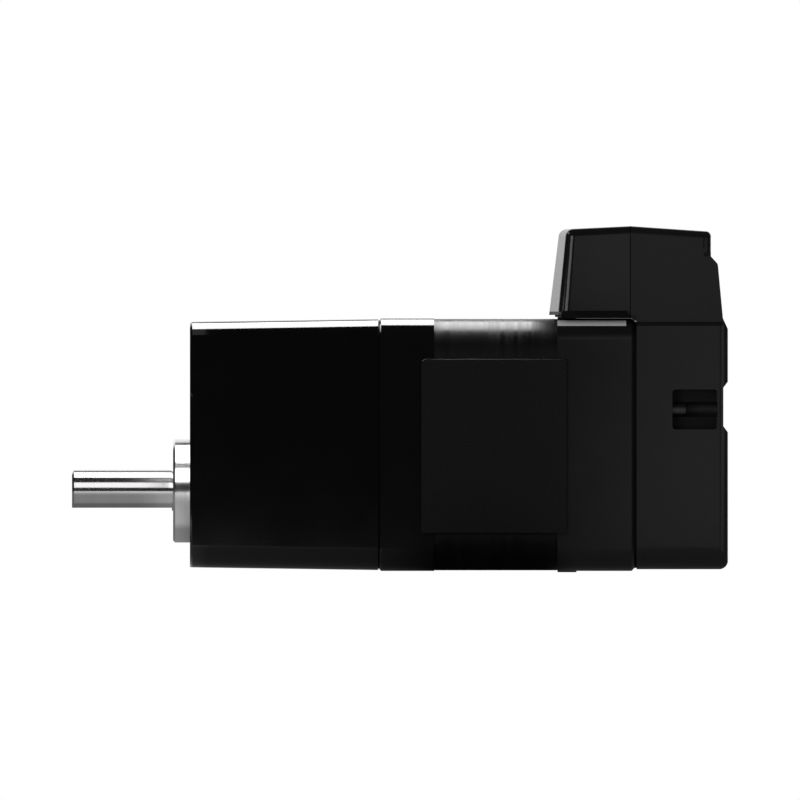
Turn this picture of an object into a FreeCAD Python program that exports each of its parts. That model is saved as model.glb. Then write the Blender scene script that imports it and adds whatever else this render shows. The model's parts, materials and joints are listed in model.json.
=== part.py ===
import FreeCAD, Part
import math
import os

# Geared stepper motor with an offset output shaft, a rear encoder and a terminal box on top.
# X runs from the mounting face to the rear, Z is up, and the output shaft turns on the X axis.

# Motor frame, the rise of the motor axis over the output axis, and the lengths along X
FRAME = 60.0
EDGE_RADIUS = 5.3
OFFSET_SHARE = 11 / 60
CASE_LENGTH = 44.7
CASE_GASKET = 0.3
FLANGE_LENGTH = 13.0
STATOR_LENGTH = 29.3
BRACKET_LENGTH = 18.3
COVER_GASKET = 0.5
COVER_LENGTH = 21.7

# Fits: parts seated on each other, parts that turn in each other, and parts that stay apart
SEAT = 0.01
RUN = 0.03
SEAL_GAP = 0.05
MOULD_GAP = 0.05
CLEAR = 0.3

# Extra length of the blocks that trim a form
OVERSHOOT = 1.0

# Gear train: pinion 1 on the motor shaft, wheel 1 and pinion 2 on the layshaft, wheel 2 on the output shaft
MODULE_SHARE = 1 / 120
PRESSURE_ANGLE = math.radians(20)
BACKLASH = 0.12
MOTOR_TEETH = 15
FIRST_WHEEL_TEETH = 45
LAY_TEETH = 15
OUTPUT_TEETH = 36
DEDENDUM = 1.25
FLANK_POINTS = 4
PINION_RELIEF = 0.4

# Gear case
CASE_FRONT_INSET = 0.85
CASE_REAR_INSET = 0.2
CASE_CHAMFER = 0.6
CASE_WALL = 8.0
FRONT_ROOM_WALL = 8.0
FRONT_ROOM_RADIUS = 12.0
REAR_ROOM_WALL = 4.5
REAR_ROOM_RADIUS = 11.0
MOUNT_INSET = 5.25
MOUNT_HOLE = 2.1
MOUNT_DEPTH = 10.0
MOUNT_SINK = 0.5

# Pilot boss that holds the front output bearing, with its seal
PILOT_RADIUS = 12.25
PILOT_HEIGHT = 4.0
PILOT_SEAT = 3.0
PILOT_STEM = 11.8
PILOT_RELIEF = 0.5
PILOT_CHAMFER = 0.5
SEAL_RADIUS = 8.0
SEAL_SINK = 0.4
SEAL_BEVEL = 0.4
SEAL_LIP = 1.0

# Output shaft and the wheel on it
SHAFT_RADIUS = 5.0
SHAFT_REACH = 28.0
SHAFT_FLAT = 4.0
SHAFT_CHAMFER = 0.5
SHAFT_RELIEF = 4.7
SHAFT_RELIEF_WIDTH = 0.6
CENTRE_HOLE = 1.1
COLLAR_RADIUS = 6.0
WHEEL_SEAT = 5.5
WHEEL_ROOM = 4.0
WHEEL_HUB = 7.0
KEY_WIDTH = 3.0
KEY_INSET = 1.0
KEY_FOOT = 3.7
KEY_TOP = 6.7
REAR_JOURNAL = 3.5
REAR_SHOULDER = 4.3
RING_GROOVE = 3.0
RING_RADIUS = 5.2
RING_WIDTH = 0.7

# Plate that carries the rear ends of both gear shafts
PLATE_ROOM = 3.0
PLATE_WIDTH = 6.0
PLATE_LIP = 1.0
PLATE_SCREW_INSET = 5.1
SCREW_M3 = 1.5
SCREW_M3_HEAD = 2.4
SCREW_M3_HEAD_HEIGHT = 2.0
PLATE_SCREW_GRIP = 8.0

# Layshaft, its bushes and the first wheel
LAY_FRONT_JOURNAL = 2.0
LAY_REAR_JOURNAL = 3.0
BUSH_WALL = 1.0
BUSH_FLANGE = 1.0
LAY_POCKET = 3.5
LAY_PINION_STEP = 2.0
LAY_TAIL = 1.0
FIRST_WHEEL_STEP = 4.0
FIRST_WHEEL_WIDTH = 6.0
FIRST_WHEEL_ROOM = 3.7
FIRST_WHEEL_HUB = 5.0

# Ball bearings: outer radius and width, then what all share
OUTPUT_FRONT_BEARING_RADIUS = 9.5
OUTPUT_FRONT_BEARING_WIDTH = 5.0
OUTPUT_REAR_BEARING_RADIUS = 7.0
OUTPUT_REAR_BEARING_WIDTH = 5.0
FRONT_BEARING_RADIUS = 11.0
FRONT_BEARING_WIDTH = 6.0
REAR_BEARING_RADIUS = 11.0
REAR_BEARING_WIDTH = 7.0
RACE_SHARE = 0.28
SHIELD = 0.4
SHIELD_GAP = 0.3

# Motor shaft and rotor
PINION_OVERLAP = 1.0
PINION_NECK = 3.0
SHOULDER_ROOM = 1.0
FRONT_JOURNAL = 5.0
ROTOR_SEAT = 6.0
MOTOR_REAR_JOURNAL = 4.0
ENCODER_JOURNAL = 2.5
ROTOR_SHARE = 0.3
ROTOR_TEETH = 50
ROTOR_TOOTH_DEPTH = 0.8
TOOTH_SHARE = 0.42
ROTOR_MAGNET = 2.9
ROTOR_MARGIN = 0.2
MAGNET_STEP = 3.0

# Front flange
REGISTER_GAP = 0.2
REGISTER_DEPTH = 1.2
FLANGE_CHAMFER = 0.4
FLANGE_SEAL = 7.5
FLANGE_SEAL_DEPTH = 2.5
BEARING_LIP = 0.5
LIP_RADIUS = 6.5
COIL_ROOM_WALL = 4.8
COIL_ROOM_DEPTH = 4.5
BEARING_HUB_WALL = 2.5

# Stator and windings
STATOR_INSET = 0.15
STATOR_RADIUS = 8.0
AIR_GAP = 0.2
YOKE = 5.0
POLES = 8
POLE_TEETH = 6
POLE_HALF_WIDTH = 3.5
POLE_ROOT = 1.0
SHOE_HALF_ANGLE = math.radians(19.5)
SHOE_DEPTH = 2.2
COIL_WALL = 2.4
COIL_GAP = 0.1
COIL_CORNER = 0.3
COIL_SHOE_GAP = 0.4
COIL_YOKE_GAP = 1.2
INSULATOR = 0.8
INSULATOR_MARGIN = 0.4
INSULATOR_CLEAR = 1.0
INSULATOR_STEP = 0.2
INSULATOR_RIM_DEPTH = 3.0

# Rear bracket and the long bolts that hold the motor to the gear case
BOLT_INSET = 6.0
BOLT_RADIUS = 2.0
BOLT_CLEAR = 0.2
BOLT_HEAD = 3.5
BOLT_HEAD_HEIGHT = 4.0
BOLT_SOCKET = 3.4
BOLT_SOCKET_DEPTH = 2.0
BOLT_GRIP = 8.5
REAR_BEARING_STEP = 3.7
WASHER_WIDTH = 0.6
WASHER_BORE = 7.5
WEB_STEP = 4.7
BRACKET_WEB = 5.0
HUB_STEP = 2.0
ENCODER_ROOM_WALL = 6.0
BRACKET_CHAMFER = 0.7
PAD_LENGTH = 4.5
PAD_INSET = 6.0
PAD_HEIGHT = 0.3
LEAD_SLOT_WIDTH = 10.0
LEAD_SLOT_HEIGHT = 3.0
LEAD_SLOT_INSET = 5.0

# Bare plate on the near side
SIDE_PLATE_AHEAD = 3.0
SIDE_PLATE_BEHIND = 2.4
SIDE_PLATE_DROP = 21.2
SIDE_PLATE_HEIGHT = 41.6
SIDE_PLATE_WIDTH = 0.9
SIDE_PLATE_RADIUS = 1.0
SIDE_PLATE_CHAMFER = 0.25

# Encoder
HUB_RADIUS = 5.5
HUB_ROOM = 1.0
HUB_LENGTH = 6.0
ENCODER_MAGNET_RADIUS = 4.0
ENCODER_MAGNET_DEPTH = 2.5
BOARD_ROOM = 4.0
BOARD_WIDTH = 1.6
BOARD_INSET = 9.0
BOARD_CORNER = 5.0
POST_INSET = 5.5
POST_RADIUS = 2.6
POST_ROOT = 1.0
POST_HOLE_DEPTH = 6.0
SCREW_M2 = 1.0
SCREW_M2_HEAD = 1.9
SCREW_M2_HEAD_HEIGHT = 1.4
CHIP_HEIGHT = 1.1
SENSOR_HALF = 3.0
HEADER_HALF_LENGTH = 6.0
HEADER_HALF_WIDTH = 2.5
HEADER_HEIGHT = 4.5
HEADER_INSET = 6.0

# Rear cover, one moulding with the rear half of the terminal box
COVER_INSET = 0.4
COVER_WALL = 2.4
COVER_REAR_RADIUS = 2.1
COVER_SIDE_RADIUS = 2.0
GROOVE_DEPTH = 1.1
GROOVE_BEVEL = 1.5
GROOVE_RISE = 4.4
GROOVE_HEIGHT = 9.1
SHOULDER_DROP = 3.4
SLOPE_FOOT_INSET = 1.2
SLOPE_FOOT_DROP = 0.8
SLOPE_TOP_INSET = 2.4
SLOPE_TOP_RISE = 12.1
LATCH_RISE = 13.9
LATCH_HEIGHT = 1.0
LATCH_DEPTH = 1.7
LATCH_LENGTH = 6.3
UPPER_REAR_INSET = 4.05
UPPER_REAR_RISE = 19.8
UPPER_RADIUS = 1.2

# Side pockets with the screws that hold the rear cover
POCKET_FRONT_STEP = 8.5
POCKET_REAR_STEP = 2.5
POCKET_RISE = 3.6
POCKET_HEIGHT = 9.5
POCKET_RADIUS = 0.8
POCKET_DEPTH = 2.6
POCKET_WALL = 1.6
COVER_SCREW_INSET = 3.2
COVER_SCREW_HEAD = 1.7
COVER_SCREW_HEAD_LENGTH = 3.4
COVER_SCREW_GRIP = 7.0
DRIVER_CHANNEL = 1.85
BLOCK_WIDTH = 6.8

# Terminal box
BOX_RISE = 0.8
BOX_HEIGHT = 21.1
BOX_PART_STEP = 1.1
BOX_PART_GAP = 0.2
BOX_FRONT_STEP = 2.0
BOX_FRONT_LEAN = 0.122
BOX_FRONT_DROP = 0.8
BOX_SIDE_STEP = 1.1
BOX_SIDE_LEAN = 0.065
LEDGE_DROP = 0.4
LEDGE_BEVEL = 1.0
BOX_FACE_MARGIN = 1.7
BOX_CHEEK_STEP = 2.5
BOX_CHEEK_LEAN = 0.09
BOX_FOOT_CORNER = 2.8
BOX_TOP_CORNER = 2.2
PLINTH_FRONT_INSET = 1.4
PLINTH_SIDE_INSET = 1.2
BOX_WALL = 2.4
BOX_EDGE = 1.9
CHAMBER_DROP = 2.7
CHAMBER_RADIUS = 2.0
CHAMBER_REAR_WALL = 6.5
SPIGOT_LENGTH = 3.0
SPIGOT_WALL = 1.2
SPIGOT_GAP = 0.15
SPIGOT_ROOT = 0.3
TERMINAL_GASKET_INSET = 0.2

# Connector in the front of the terminal box
SOCKET_HALF = 13.9
SOCKET_RISE = 4.5
SOCKET_HEIGHT = 11.8
SOCKET_WALL = 1.5
SOCKET_RADIUS = 1.0
SOCKET_DEPTH = 10.2
SOCKET_FLOOR = 3.0
SOCKET_SINK = 0.3
SOCKET_FLANGE_STEP = 5.3
SOCKET_FLANGE = 1.4
PIN_RADIUS = 0.5
PIN_REACH = 4.2
PIN_TAIL = 2.5
PIN_PITCH = 4.0
PINS_PER_ROW = 6

# Stations along X that follow from the sizes above
FLANGE_X = CASE_LENGTH + CASE_GASKET
STATOR_X = FLANGE_X + FLANGE_LENGTH
BRACKET_X = STATOR_X + STATOR_LENGTH
BRACKET_END = BRACKET_X + BRACKET_LENGTH
COVER_X = BRACKET_END + COVER_GASKET
COVER_END = COVER_X + COVER_LENGTH
WHEEL_X = CASE_WALL + WHEEL_ROOM
FIRST_WHEEL_END = CASE_LENGTH - FIRST_WHEEL_ROOM
FIRST_WHEEL_X = FIRST_WHEEL_END - FIRST_WHEEL_WIDTH
PLATE_END = FIRST_WHEEL_X - FIRST_WHEEL_STEP
PLATE_X = PLATE_END - PLATE_WIDTH
WHEEL_END = PLATE_X - PLATE_ROOM
WHEEL_HUB_END = PLATE_X - 2 * CLEAR
LAY_POCKET_X = CASE_WALL - LAY_POCKET
LAY_PINION_X = CASE_WALL + LAY_PINION_STEP
LAY_PINION_END = PLATE_X - LAY_PINION_STEP
FIRST_WHEEL_HUB_X = PLATE_END + 2 * CLEAR
LAY_END = FIRST_WHEEL_END + LAY_TAIL
PINION_X = FIRST_WHEEL_X - PINION_OVERLAP
PINION_END = FIRST_WHEEL_END + PINION_OVERLAP
FRONT_BEARING_X = FLANGE_X + FLANGE_SEAL_DEPTH + BEARING_LIP
ROTOR_X = STATOR_X + ROTOR_MARGIN
ROTOR_CORE = (STATOR_LENGTH - ROTOR_MAGNET) / 2 - ROTOR_MARGIN
REAR_BEARING_X = BRACKET_X + REAR_BEARING_STEP
BRACKET_WEB_X = BRACKET_X + WEB_STEP
BRACKET_HUB_END = REAR_BEARING_X + REAR_BEARING_WIDTH + HUB_STEP
HUB_X = BRACKET_HUB_END + HUB_ROOM
HUB_END = HUB_X + HUB_LENGTH
BOARD_X = HUB_END + BOARD_ROOM
SIDE_PLATE_X = (STATOR_X - SIDE_PLATE_AHEAD, BRACKET_X + SIDE_PLATE_BEHIND)
POCKET_X = (COVER_X + POCKET_FRONT_STEP, COVER_END - POCKET_REAR_STEP)
UPPER_REAR_X = COVER_END - UPPER_REAR_INSET
BOX_PART_X = BRACKET_END - BOX_PART_STEP
BOX_FRONT_X = BRACKET_X - BOX_FRONT_STEP
CHAMBER_REAR_X = COVER_END - CHAMBER_REAR_WALL
SOCKET_BACK_X = BOX_FRONT_X + SOCKET_DEPTH
SOCKET_END_X = SOCKET_BACK_X + SOCKET_FLOOR
SOCKET_FLANGE_X = BOX_FRONT_X + SOCKET_FLANGE_STEP

# Sizes across the motor that follow from the frame
AXIS_RISE = FRAME * OFFSET_SHARE
MODULE = FRAME * MODULE_SHARE
CASE_FRONT = FRAME / 2 - CASE_FRONT_INSET
CASE_REAR = FRAME / 2 - CASE_REAR_INSET
FRONT_ROOM = FRAME / 2 - FRONT_ROOM_WALL
REAR_ROOM = FRAME / 2 - REAR_ROOM_WALL
REGISTER = REAR_ROOM - REGISTER_GAP
MOUNT_PITCH = FRAME - 2 * MOUNT_INSET
BOLT_PITCH = FRAME - 2 * BOLT_INSET
PLATE_SCREW_PITCH = 2 * (REAR_ROOM - PLATE_SCREW_INSET)
ROTOR_RADIUS = FRAME * ROTOR_SHARE
MAGNET_RADIUS = ROTOR_RADIUS - MAGNET_STEP
STATOR_HALF = FRAME / 2 - STATOR_INSET
YOKE_RADIUS = FRAME / 2 - YOKE
COIL_ROOM = FRAME / 2 - COIL_ROOM_WALL
COIL_INNER = ROTOR_RADIUS + AIR_GAP + SHOE_DEPTH + COIL_SHOE_GAP
COIL_OUTER = YOKE_RADIUS - COIL_YOKE_GAP
INSULATOR_INNER = ROTOR_RADIUS + INSULATOR_CLEAR
INSULATOR_RIM = YOKE_RADIUS - INSULATOR_STEP
ENCODER_ROOM = FRAME / 2 - ENCODER_ROOM_WALL
PAD_HALF_WIDTH = FRAME / 2 - PAD_INSET
BOARD_HALF = FRAME / 2 - BOARD_INSET
POST_PITCH = 2 * (BOARD_HALF - POST_INSET)
COVER_HALF = FRAME / 2 - COVER_INSET
COVER_SCREW_Y = COVER_HALF - COVER_SCREW_INSET
POCKET_FLOOR = COVER_HALF - POCKET_DEPTH
BLOCK_INNER = COVER_HALF - BLOCK_WIDTH
BOX_BASE_HALF = COVER_HALF - BOX_SIDE_STEP
BOX_FACE_HALF = SOCKET_HALF + BOX_FACE_MARGIN
PLINTH_HALF = BOX_BASE_HALF - PLINTH_SIDE_INSET

# Heights that follow from the frame
SIDE_PLATE_Z = (AXIS_RISE - SIDE_PLATE_DROP, AXIS_RISE - SIDE_PLATE_DROP + SIDE_PLATE_HEIGHT)
COVER_BOTTOM = AXIS_RISE - COVER_HALF
GROOVE_Z = (AXIS_RISE + GROOVE_RISE, AXIS_RISE + GROOVE_RISE + GROOVE_HEIGHT)
POCKET_Z = (AXIS_RISE + POCKET_RISE, AXIS_RISE + POCKET_RISE + POCKET_HEIGHT)
COVER_SCREW_Z = (POCKET_Z[0] + POCKET_Z[1]) / 2
LEDGE_Z = AXIS_RISE + COVER_HALF - LEDGE_DROP
BOX_FOOT_Z = AXIS_RISE + FRAME / 2 + SEAT
BOX_BASE_Z = AXIS_RISE + FRAME / 2 + BOX_RISE
BOX_PEAK_Z = BOX_BASE_Z + BOX_HEIGHT
BOX_FRONT_Z = BOX_PEAK_Z - BOX_FRONT_DROP
LATCH_Z = BOX_BASE_Z + LATCH_RISE
CHAMBER_Z = (BOX_BASE_Z + BOX_WALL, BOX_PEAK_Z - CHAMBER_DROP)
SOCKET_Z = (BOX_BASE_Z + SOCKET_RISE, BOX_BASE_Z + SOCKET_RISE + SOCKET_HEIGHT)

# Place of the layshaft between the other two axes
FIRST_CENTRES = MODULE * (MOTOR_TEETH + FIRST_WHEEL_TEETH) / 2
SECOND_CENTRES = MODULE * (LAY_TEETH + OUTPUT_TEETH) / 2
LAY_Z = (SECOND_CENTRES ** 2 - FIRST_CENTRES ** 2 + AXIS_RISE ** 2) / (2 * AXIS_RISE)
LAY_Y = -math.sqrt(SECOND_CENTRES ** 2 - LAY_Z ** 2)

X_AXIS = FreeCAD.Vector(1, 0, 0)


# Drawing helpers

def section(x):
    """Place a drawing across the motor at one station."""
    return lambda y, z: FreeCAD.Vector(x, y, z)


def side(y):
    """Place a drawing in a side view."""
    return lambda x, z: FreeCAD.Vector(x, y, z)


def plan(z):
    """Place a drawing in a view from above."""
    return lambda x, y: FreeCAD.Vector(x, y, z)


def outline(corners, place):
    """Closed wire through corners (u, v, radius), each rounded by an arc."""
    tangents = []
    for i, (u, v, radius) in enumerate(corners):
        here = FreeCAD.Vector(u, v, 0)
        last = corners[i - 1]
        following = corners[(i + 1) % len(corners)]
        back = (FreeCAD.Vector(last[0], last[1], 0) - here).normalize()
        ahead = (FreeCAD.Vector(following[0], following[1], 0) - here).normalize()
        half = back.getAngle(ahead) / 2
        reach = radius / math.tan(half)
        crown = here
        if radius:
            crown = here + (back + ahead).normalize() * (radius / math.sin(half) - radius)
        tangents.append((here + back * reach, crown, here + ahead * reach, radius))
    edges = []
    for i, (start, crown, end, radius) in enumerate(tangents):
        before = tangents[i - 1][2]
        if (start - before).Length > 1e-6:
            edges.append(Part.LineSegment(place(before.x, before.y), place(start.x, start.y)).toShape())
        if radius:
            arc = Part.Arc(place(start.x, start.y), place(crown.x, crown.y), place(end.x, end.y))
            edges.append(arc.toShape())
    return Part.Wire(edges)


def rectangle(u, v, radius):
    """Corners of a rectangle between the two ends given for each side."""
    return [(u[0], v[0], radius), (u[1], v[0], radius), (u[1], v[1], radius), (u[0], v[1], radius)]


def square(half, radius):
    """Corners of a square round the motor axis."""
    return rectangle((-half, half), (AXIS_RISE - half, AXIS_RISE + half), radius)


def across(corners, x0, x1):
    """Solid with one cross-section from station x0 to x1."""
    return Part.Face(outline(corners, section(x0))).extrude(X_AXIS * (x1 - x0))


def along(corners, half):
    """Solid with one side profile over the whole width."""
    return Part.Face(outline(corners, side(-half))).extrude(FreeCAD.Vector(0, 2 * half, 0))


def box(x, y, z):
    """Block between the two ends given for each axis."""
    corner = FreeCAD.Vector(x[0], y[0], z[0])
    return Part.makeBox(x[1] - x[0], y[1] - y[0], z[1] - z[0], corner)


def rod(x0, x1, radius, y=0.0, z=AXIS_RISE):
    """Round bar along X, on the motor axis unless placed elsewhere."""
    return Part.makeCylinder(radius, x1 - x0, FreeCAD.Vector(x0, y, z), X_AXIS)


def turned(points, y=0.0, z=AXIS_RISE):
    """Solid of revolution from (x, radius) points about an axis along X."""
    corners = [FreeCAD.Vector(x, y, z + radius) for x, radius in points]
    face = Part.Face(Part.makePolygon(corners + corners[:1]))
    return face.revolve(FreeCAD.Vector(0, y, z), X_AXIS, 360)


def fuse(shapes):
    """One solid from several that meet."""
    return shapes[0].fuse(shapes[1:]).removeSplitter()


def corners_of(pitch):
    """The four places of a square pattern round the motor axis."""
    half = pitch / 2
    return [(y, AXIS_RISE + z) for y in (-half, half) for z in (-half, half)]


def in_plane(edge, x):
    """True for an edge that lies at one station."""
    return all(abs(vertex.X - x) < 1e-4 for vertex in edge.Vertexes)


def edges_at(shape, x):
    """Edges of a shape that lie at one station."""
    return [edge for edge in shape.Edges if in_plane(edge, x)]


# Gears and bearings

def gear(teeth, phase, x0, x1, y, z):
    """Spur gear with involute flanks, a tooth at the phase angle, thinned for backlash."""
    pitch = MODULE * teeth / 2
    base = pitch * math.cos(PRESSURE_ANGLE)
    tip = pitch + MODULE
    root = pitch - DEDENDUM * MODULE
    foot = max(base, root)
    half_tooth = math.pi / (2 * teeth) - BACKLASH / (4 * pitch)
    tooth_at_base = half_tooth + math.tan(PRESSURE_ANGLE) - PRESSURE_ANGLE

    def at(radius, angle):
        return FreeCAD.Vector(x0, y + radius * math.cos(angle), z + radius * math.sin(angle))

    def half_angle(radius):
        roll = math.acos(min(1.0, base / radius))
        return tooth_at_base - math.tan(roll) + roll

    radii = [foot + (tip - foot) * i / FLANK_POINTS for i in range(FLANK_POINTS + 1)]
    edges = []
    for tooth in range(teeth):
        middle = phase + 2 * math.pi * tooth / teeth
        following = middle + 2 * math.pi / teeth
        rise = [at(radius, middle - half_angle(radius)) for radius in radii]
        fall = [at(radius, middle + half_angle(radius)) for radius in reversed(radii)]
        gap_start = at(root, middle + half_angle(foot))
        gap_end = at(root, following - half_angle(foot))
        if foot > root:
            edges.append(Part.LineSegment(at(root, middle - half_angle(foot)), rise[0]).toShape())
        edges.append(curve_through(rise))
        edges.append(Part.Arc(rise[-1], at(tip, middle), fall[0]).toShape())
        edges.append(curve_through(fall))
        if foot > root:
            edges.append(Part.LineSegment(fall[-1], gap_start).toShape())
        gap_middle = at(root, (middle + following) / 2)
        edges.append(Part.Arc(gap_start, gap_middle, gap_end).toShape())
    return Part.Face(Part.Wire(edges)).extrude(X_AXIS * (x1 - x0))


def curve_through(points):
    """Smooth edge through a row of points."""
    curve = Part.BSplineCurve()
    curve.interpolate(points)
    return curve.toShape()


def mesh_angle(y0, z0, y1, z1):
    """Direction from one gear's axis to the next one's."""
    return math.atan2(z1 - z0, y1 - y0)


def bearing(bore, outer, width, x0, y, z):
    """Outer ring with its two shields, and inner ring."""
    race = RACE_SHARE * (outer - bore)
    low = bore + race
    high = outer - race
    x1 = x0 + width
    outer_ring = turned([
        (x0, low + SHIELD_GAP), (x0, outer - SEAT), (x1, outer - SEAT), (x1, low + SHIELD_GAP),
        (x1 - SHIELD, low + SHIELD_GAP), (x1 - SHIELD, high), (x0 + SHIELD, high),
        (x0 + SHIELD, low + SHIELD_GAP)], y, z)
    inner_ring = turned([(x0, bore + SEAT), (x0, low), (x1, low), (x1, bore + SEAT)], y, z)
    return outer_ring, inner_ring


# Gearbox

def gear_case():
    """Die-cast case with draft, a front room for the second stage and a rear room for the first."""
    front = outline(square(CASE_FRONT, EDGE_RADIUS), section(0))
    rear = outline(square(CASE_REAR, EDGE_RADIUS), section(CASE_LENGTH))
    body = Part.makeLoft([front, rear], True, True)
    body = body.makeChamfer(CASE_CHAMFER, edges_at(body, 0))
    cuts = [
        across(square(FRONT_ROOM, FRONT_ROOM_RADIUS), CASE_WALL, PLATE_X),
        across(square(REAR_ROOM, REAR_ROOM_RADIUS), PLATE_X, CASE_LENGTH),
        rod(0, PILOT_RELIEF, PILOT_RADIUS + CLEAR, 0, 0),
        rod(0, PILOT_SEAT, PILOT_STEM + SEAT, 0, 0),
        rod(0, CASE_WALL, COLLAR_RADIUS + 2 * CLEAR, 0, 0),
        rod(LAY_POCKET_X, CASE_WALL, LAY_FRONT_JOURNAL + BUSH_WALL + SEAT, LAY_Y, LAY_Z)]
    for y, z in corners_of(MOUNT_PITCH):
        cuts.append(rod(0, MOUNT_DEPTH, MOUNT_HOLE, y, z))
        sink = FreeCAD.Vector(0, y, z)
        cuts.append(Part.makeCone(MOUNT_HOLE + MOUNT_SINK, MOUNT_HOLE, MOUNT_SINK, sink, X_AXIS))
    for y, z in corners_of(BOLT_PITCH):
        cuts.append(rod(CASE_LENGTH - BOLT_GRIP, CASE_LENGTH, BOLT_RADIUS + SEAT, y, z))
    for y, z in corners_of(PLATE_SCREW_PITCH):
        cuts.append(rod(PLATE_X - PLATE_SCREW_GRIP, PLATE_X, SCREW_M3 + SEAT, y, z))
    return body.cut(cuts)


def pilot_boss():
    """Turned ring that centres the motor and holds the front output bearing and its seal."""
    seat = OUTPUT_FRONT_BEARING_RADIUS + SEAT
    step = PILOT_SEAT - OUTPUT_FRONT_BEARING_WIDTH
    return turned([
        (-PILOT_HEIGHT, SEAL_RADIUS + SEAT), (-PILOT_HEIGHT, PILOT_RADIUS - PILOT_CHAMFER),
        (-PILOT_HEIGHT + PILOT_CHAMFER, PILOT_RADIUS), (0, PILOT_RADIUS), (0, PILOT_STEM),
        (PILOT_SEAT, PILOT_STEM), (PILOT_SEAT, seat), (step, seat), (step, SEAL_RADIUS + SEAT)], 0, 0)


def output_seal():
    """Lip seal in the front of the pilot boss."""
    front = -PILOT_HEIGHT + SEAL_SINK
    rear = PILOT_SEAT - OUTPUT_FRONT_BEARING_WIDTH - SEAT
    lip = SHAFT_RADIUS + SEAL_GAP
    waist = lip + SEAL_LIP
    lip_end = front + SEAL_LIP
    return turned([
        (front, lip + SEAL_BEVEL), (front, SEAL_RADIUS), (rear, SEAL_RADIUS), (rear, waist),
        (lip_end, waist), (lip_end, lip), (front + SEAL_BEVEL, lip)], 0, 0)


def key_outline(margin):
    """Top view of the round-ended key, with room round it."""
    start = WHEEL_X + KEY_INSET - margin
    end = WHEEL_END - KEY_INSET + margin
    half = KEY_WIDTH / 2 + margin
    return rectangle((start, end), (-half, half), half - SEAT)


def key_block(margin, foot, top):
    """Key, or the room for it, between two heights over the output axis."""
    return Part.Face(outline(key_outline(margin), plan(foot))).extrude(FreeCAD.Vector(0, 0, top - foot))


def output_shaft():
    """Stepped output shaft with a flat along the part outside and a keyway for the wheel."""
    relief = -PILOT_HEIGHT - CLEAR
    relief_end = relief + SHAFT_RELIEF_WIDTH
    bearing_x = PLATE_X + PLATE_LIP
    groove = bearing_x + OUTPUT_REAR_BEARING_WIDTH + CLEAR
    end = groove + 2 * RING_WIDTH
    body = turned([
        (-SHAFT_REACH, 0), (-SHAFT_REACH, SHAFT_RADIUS - SHAFT_CHAMFER),
        (-SHAFT_REACH + SHAFT_CHAMFER, SHAFT_RADIUS), (relief, SHAFT_RADIUS), (relief, SHAFT_RELIEF),
        (relief_end, SHAFT_RELIEF), (relief_end, SHAFT_RADIUS), (PILOT_SEAT, SHAFT_RADIUS),
        (PILOT_SEAT, COLLAR_RADIUS), (WHEEL_X, COLLAR_RADIUS), (WHEEL_X, WHEEL_SEAT),
        (PLATE_X, WHEEL_SEAT), (PLATE_X, REAR_SHOULDER), (bearing_x, REAR_SHOULDER),
        (bearing_x, REAR_JOURNAL), (groove, REAR_JOURNAL), (groove, RING_GROOVE),
        (groove + RING_WIDTH, RING_GROOVE), (groove + RING_WIDTH, REAR_JOURNAL), (end, REAR_JOURNAL),
        (end, 0)], 0, 0)
    flat = box((-SHAFT_REACH, relief), (-SHAFT_RADIUS, SHAFT_RADIUS), (-SHAFT_RADIUS, -SHAFT_FLAT))
    centre = Part.makeCone(CENTRE_HOLE, 0, 2 * CENTRE_HOLE, FreeCAD.Vector(-SHAFT_REACH, 0, 0), X_AXIS)
    return body.cut([flat, centre, key_block(SEAT, KEY_FOOT, COLLAR_RADIUS)])


def output_wheel():
    """Second-stage wheel with a hub towards the gear plate."""
    phase = mesh_angle(0, 0, LAY_Y, LAY_Z) + math.pi / OUTPUT_TEETH
    teeth = gear(OUTPUT_TEETH, phase, WHEEL_X, WHEEL_END, 0, 0)
    hub = rod(WHEEL_X, WHEEL_HUB_END, WHEEL_HUB, 0, 0)
    bore = rod(WHEEL_X, WHEEL_HUB_END, WHEEL_SEAT + SEAT, 0, 0)
    return fuse([teeth, hub]).cut([bore, key_block(SEAT, KEY_FOOT, KEY_TOP + SEAT)])


def retaining_ring():
    """Open ring that keeps the output shaft in its rear bearing."""
    start = PLATE_X + PLATE_LIP + OUTPUT_REAR_BEARING_WIDTH + CLEAR + SEAT
    end = start + RING_WIDTH - 2 * SEAT
    ring = rod(start, end, RING_RADIUS, 0, 0).cut(rod(start, end, RING_GROOVE + SEAT, 0, 0))
    mouth = box((start, end), (-RING_GROOVE / 2, RING_GROOVE / 2), (-RING_RADIUS, 0))
    return ring.cut(mouth)


def layshaft():
    """Layshaft with the second-stage pinion cut in it."""
    phase = mesh_angle(LAY_Y, LAY_Z, 0, 0)
    start = LAY_POCKET_X + CLEAR
    neck = LAY_PINION_X - PINION_RELIEF
    root = MODULE * (LAY_TEETH / 2 - DEDENDUM)
    body = turned([
        (start, 0), (start, LAY_FRONT_JOURNAL), (neck, LAY_FRONT_JOURNAL), (neck, root),
        (LAY_PINION_END, root), (LAY_PINION_END, LAY_REAR_JOURNAL), (LAY_END, LAY_REAR_JOURNAL), (LAY_END, 0)], LAY_Y, LAY_Z)
    return fuse([body, gear(LAY_TEETH, phase, LAY_PINION_X, LAY_PINION_END, LAY_Y, LAY_Z)])


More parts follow.
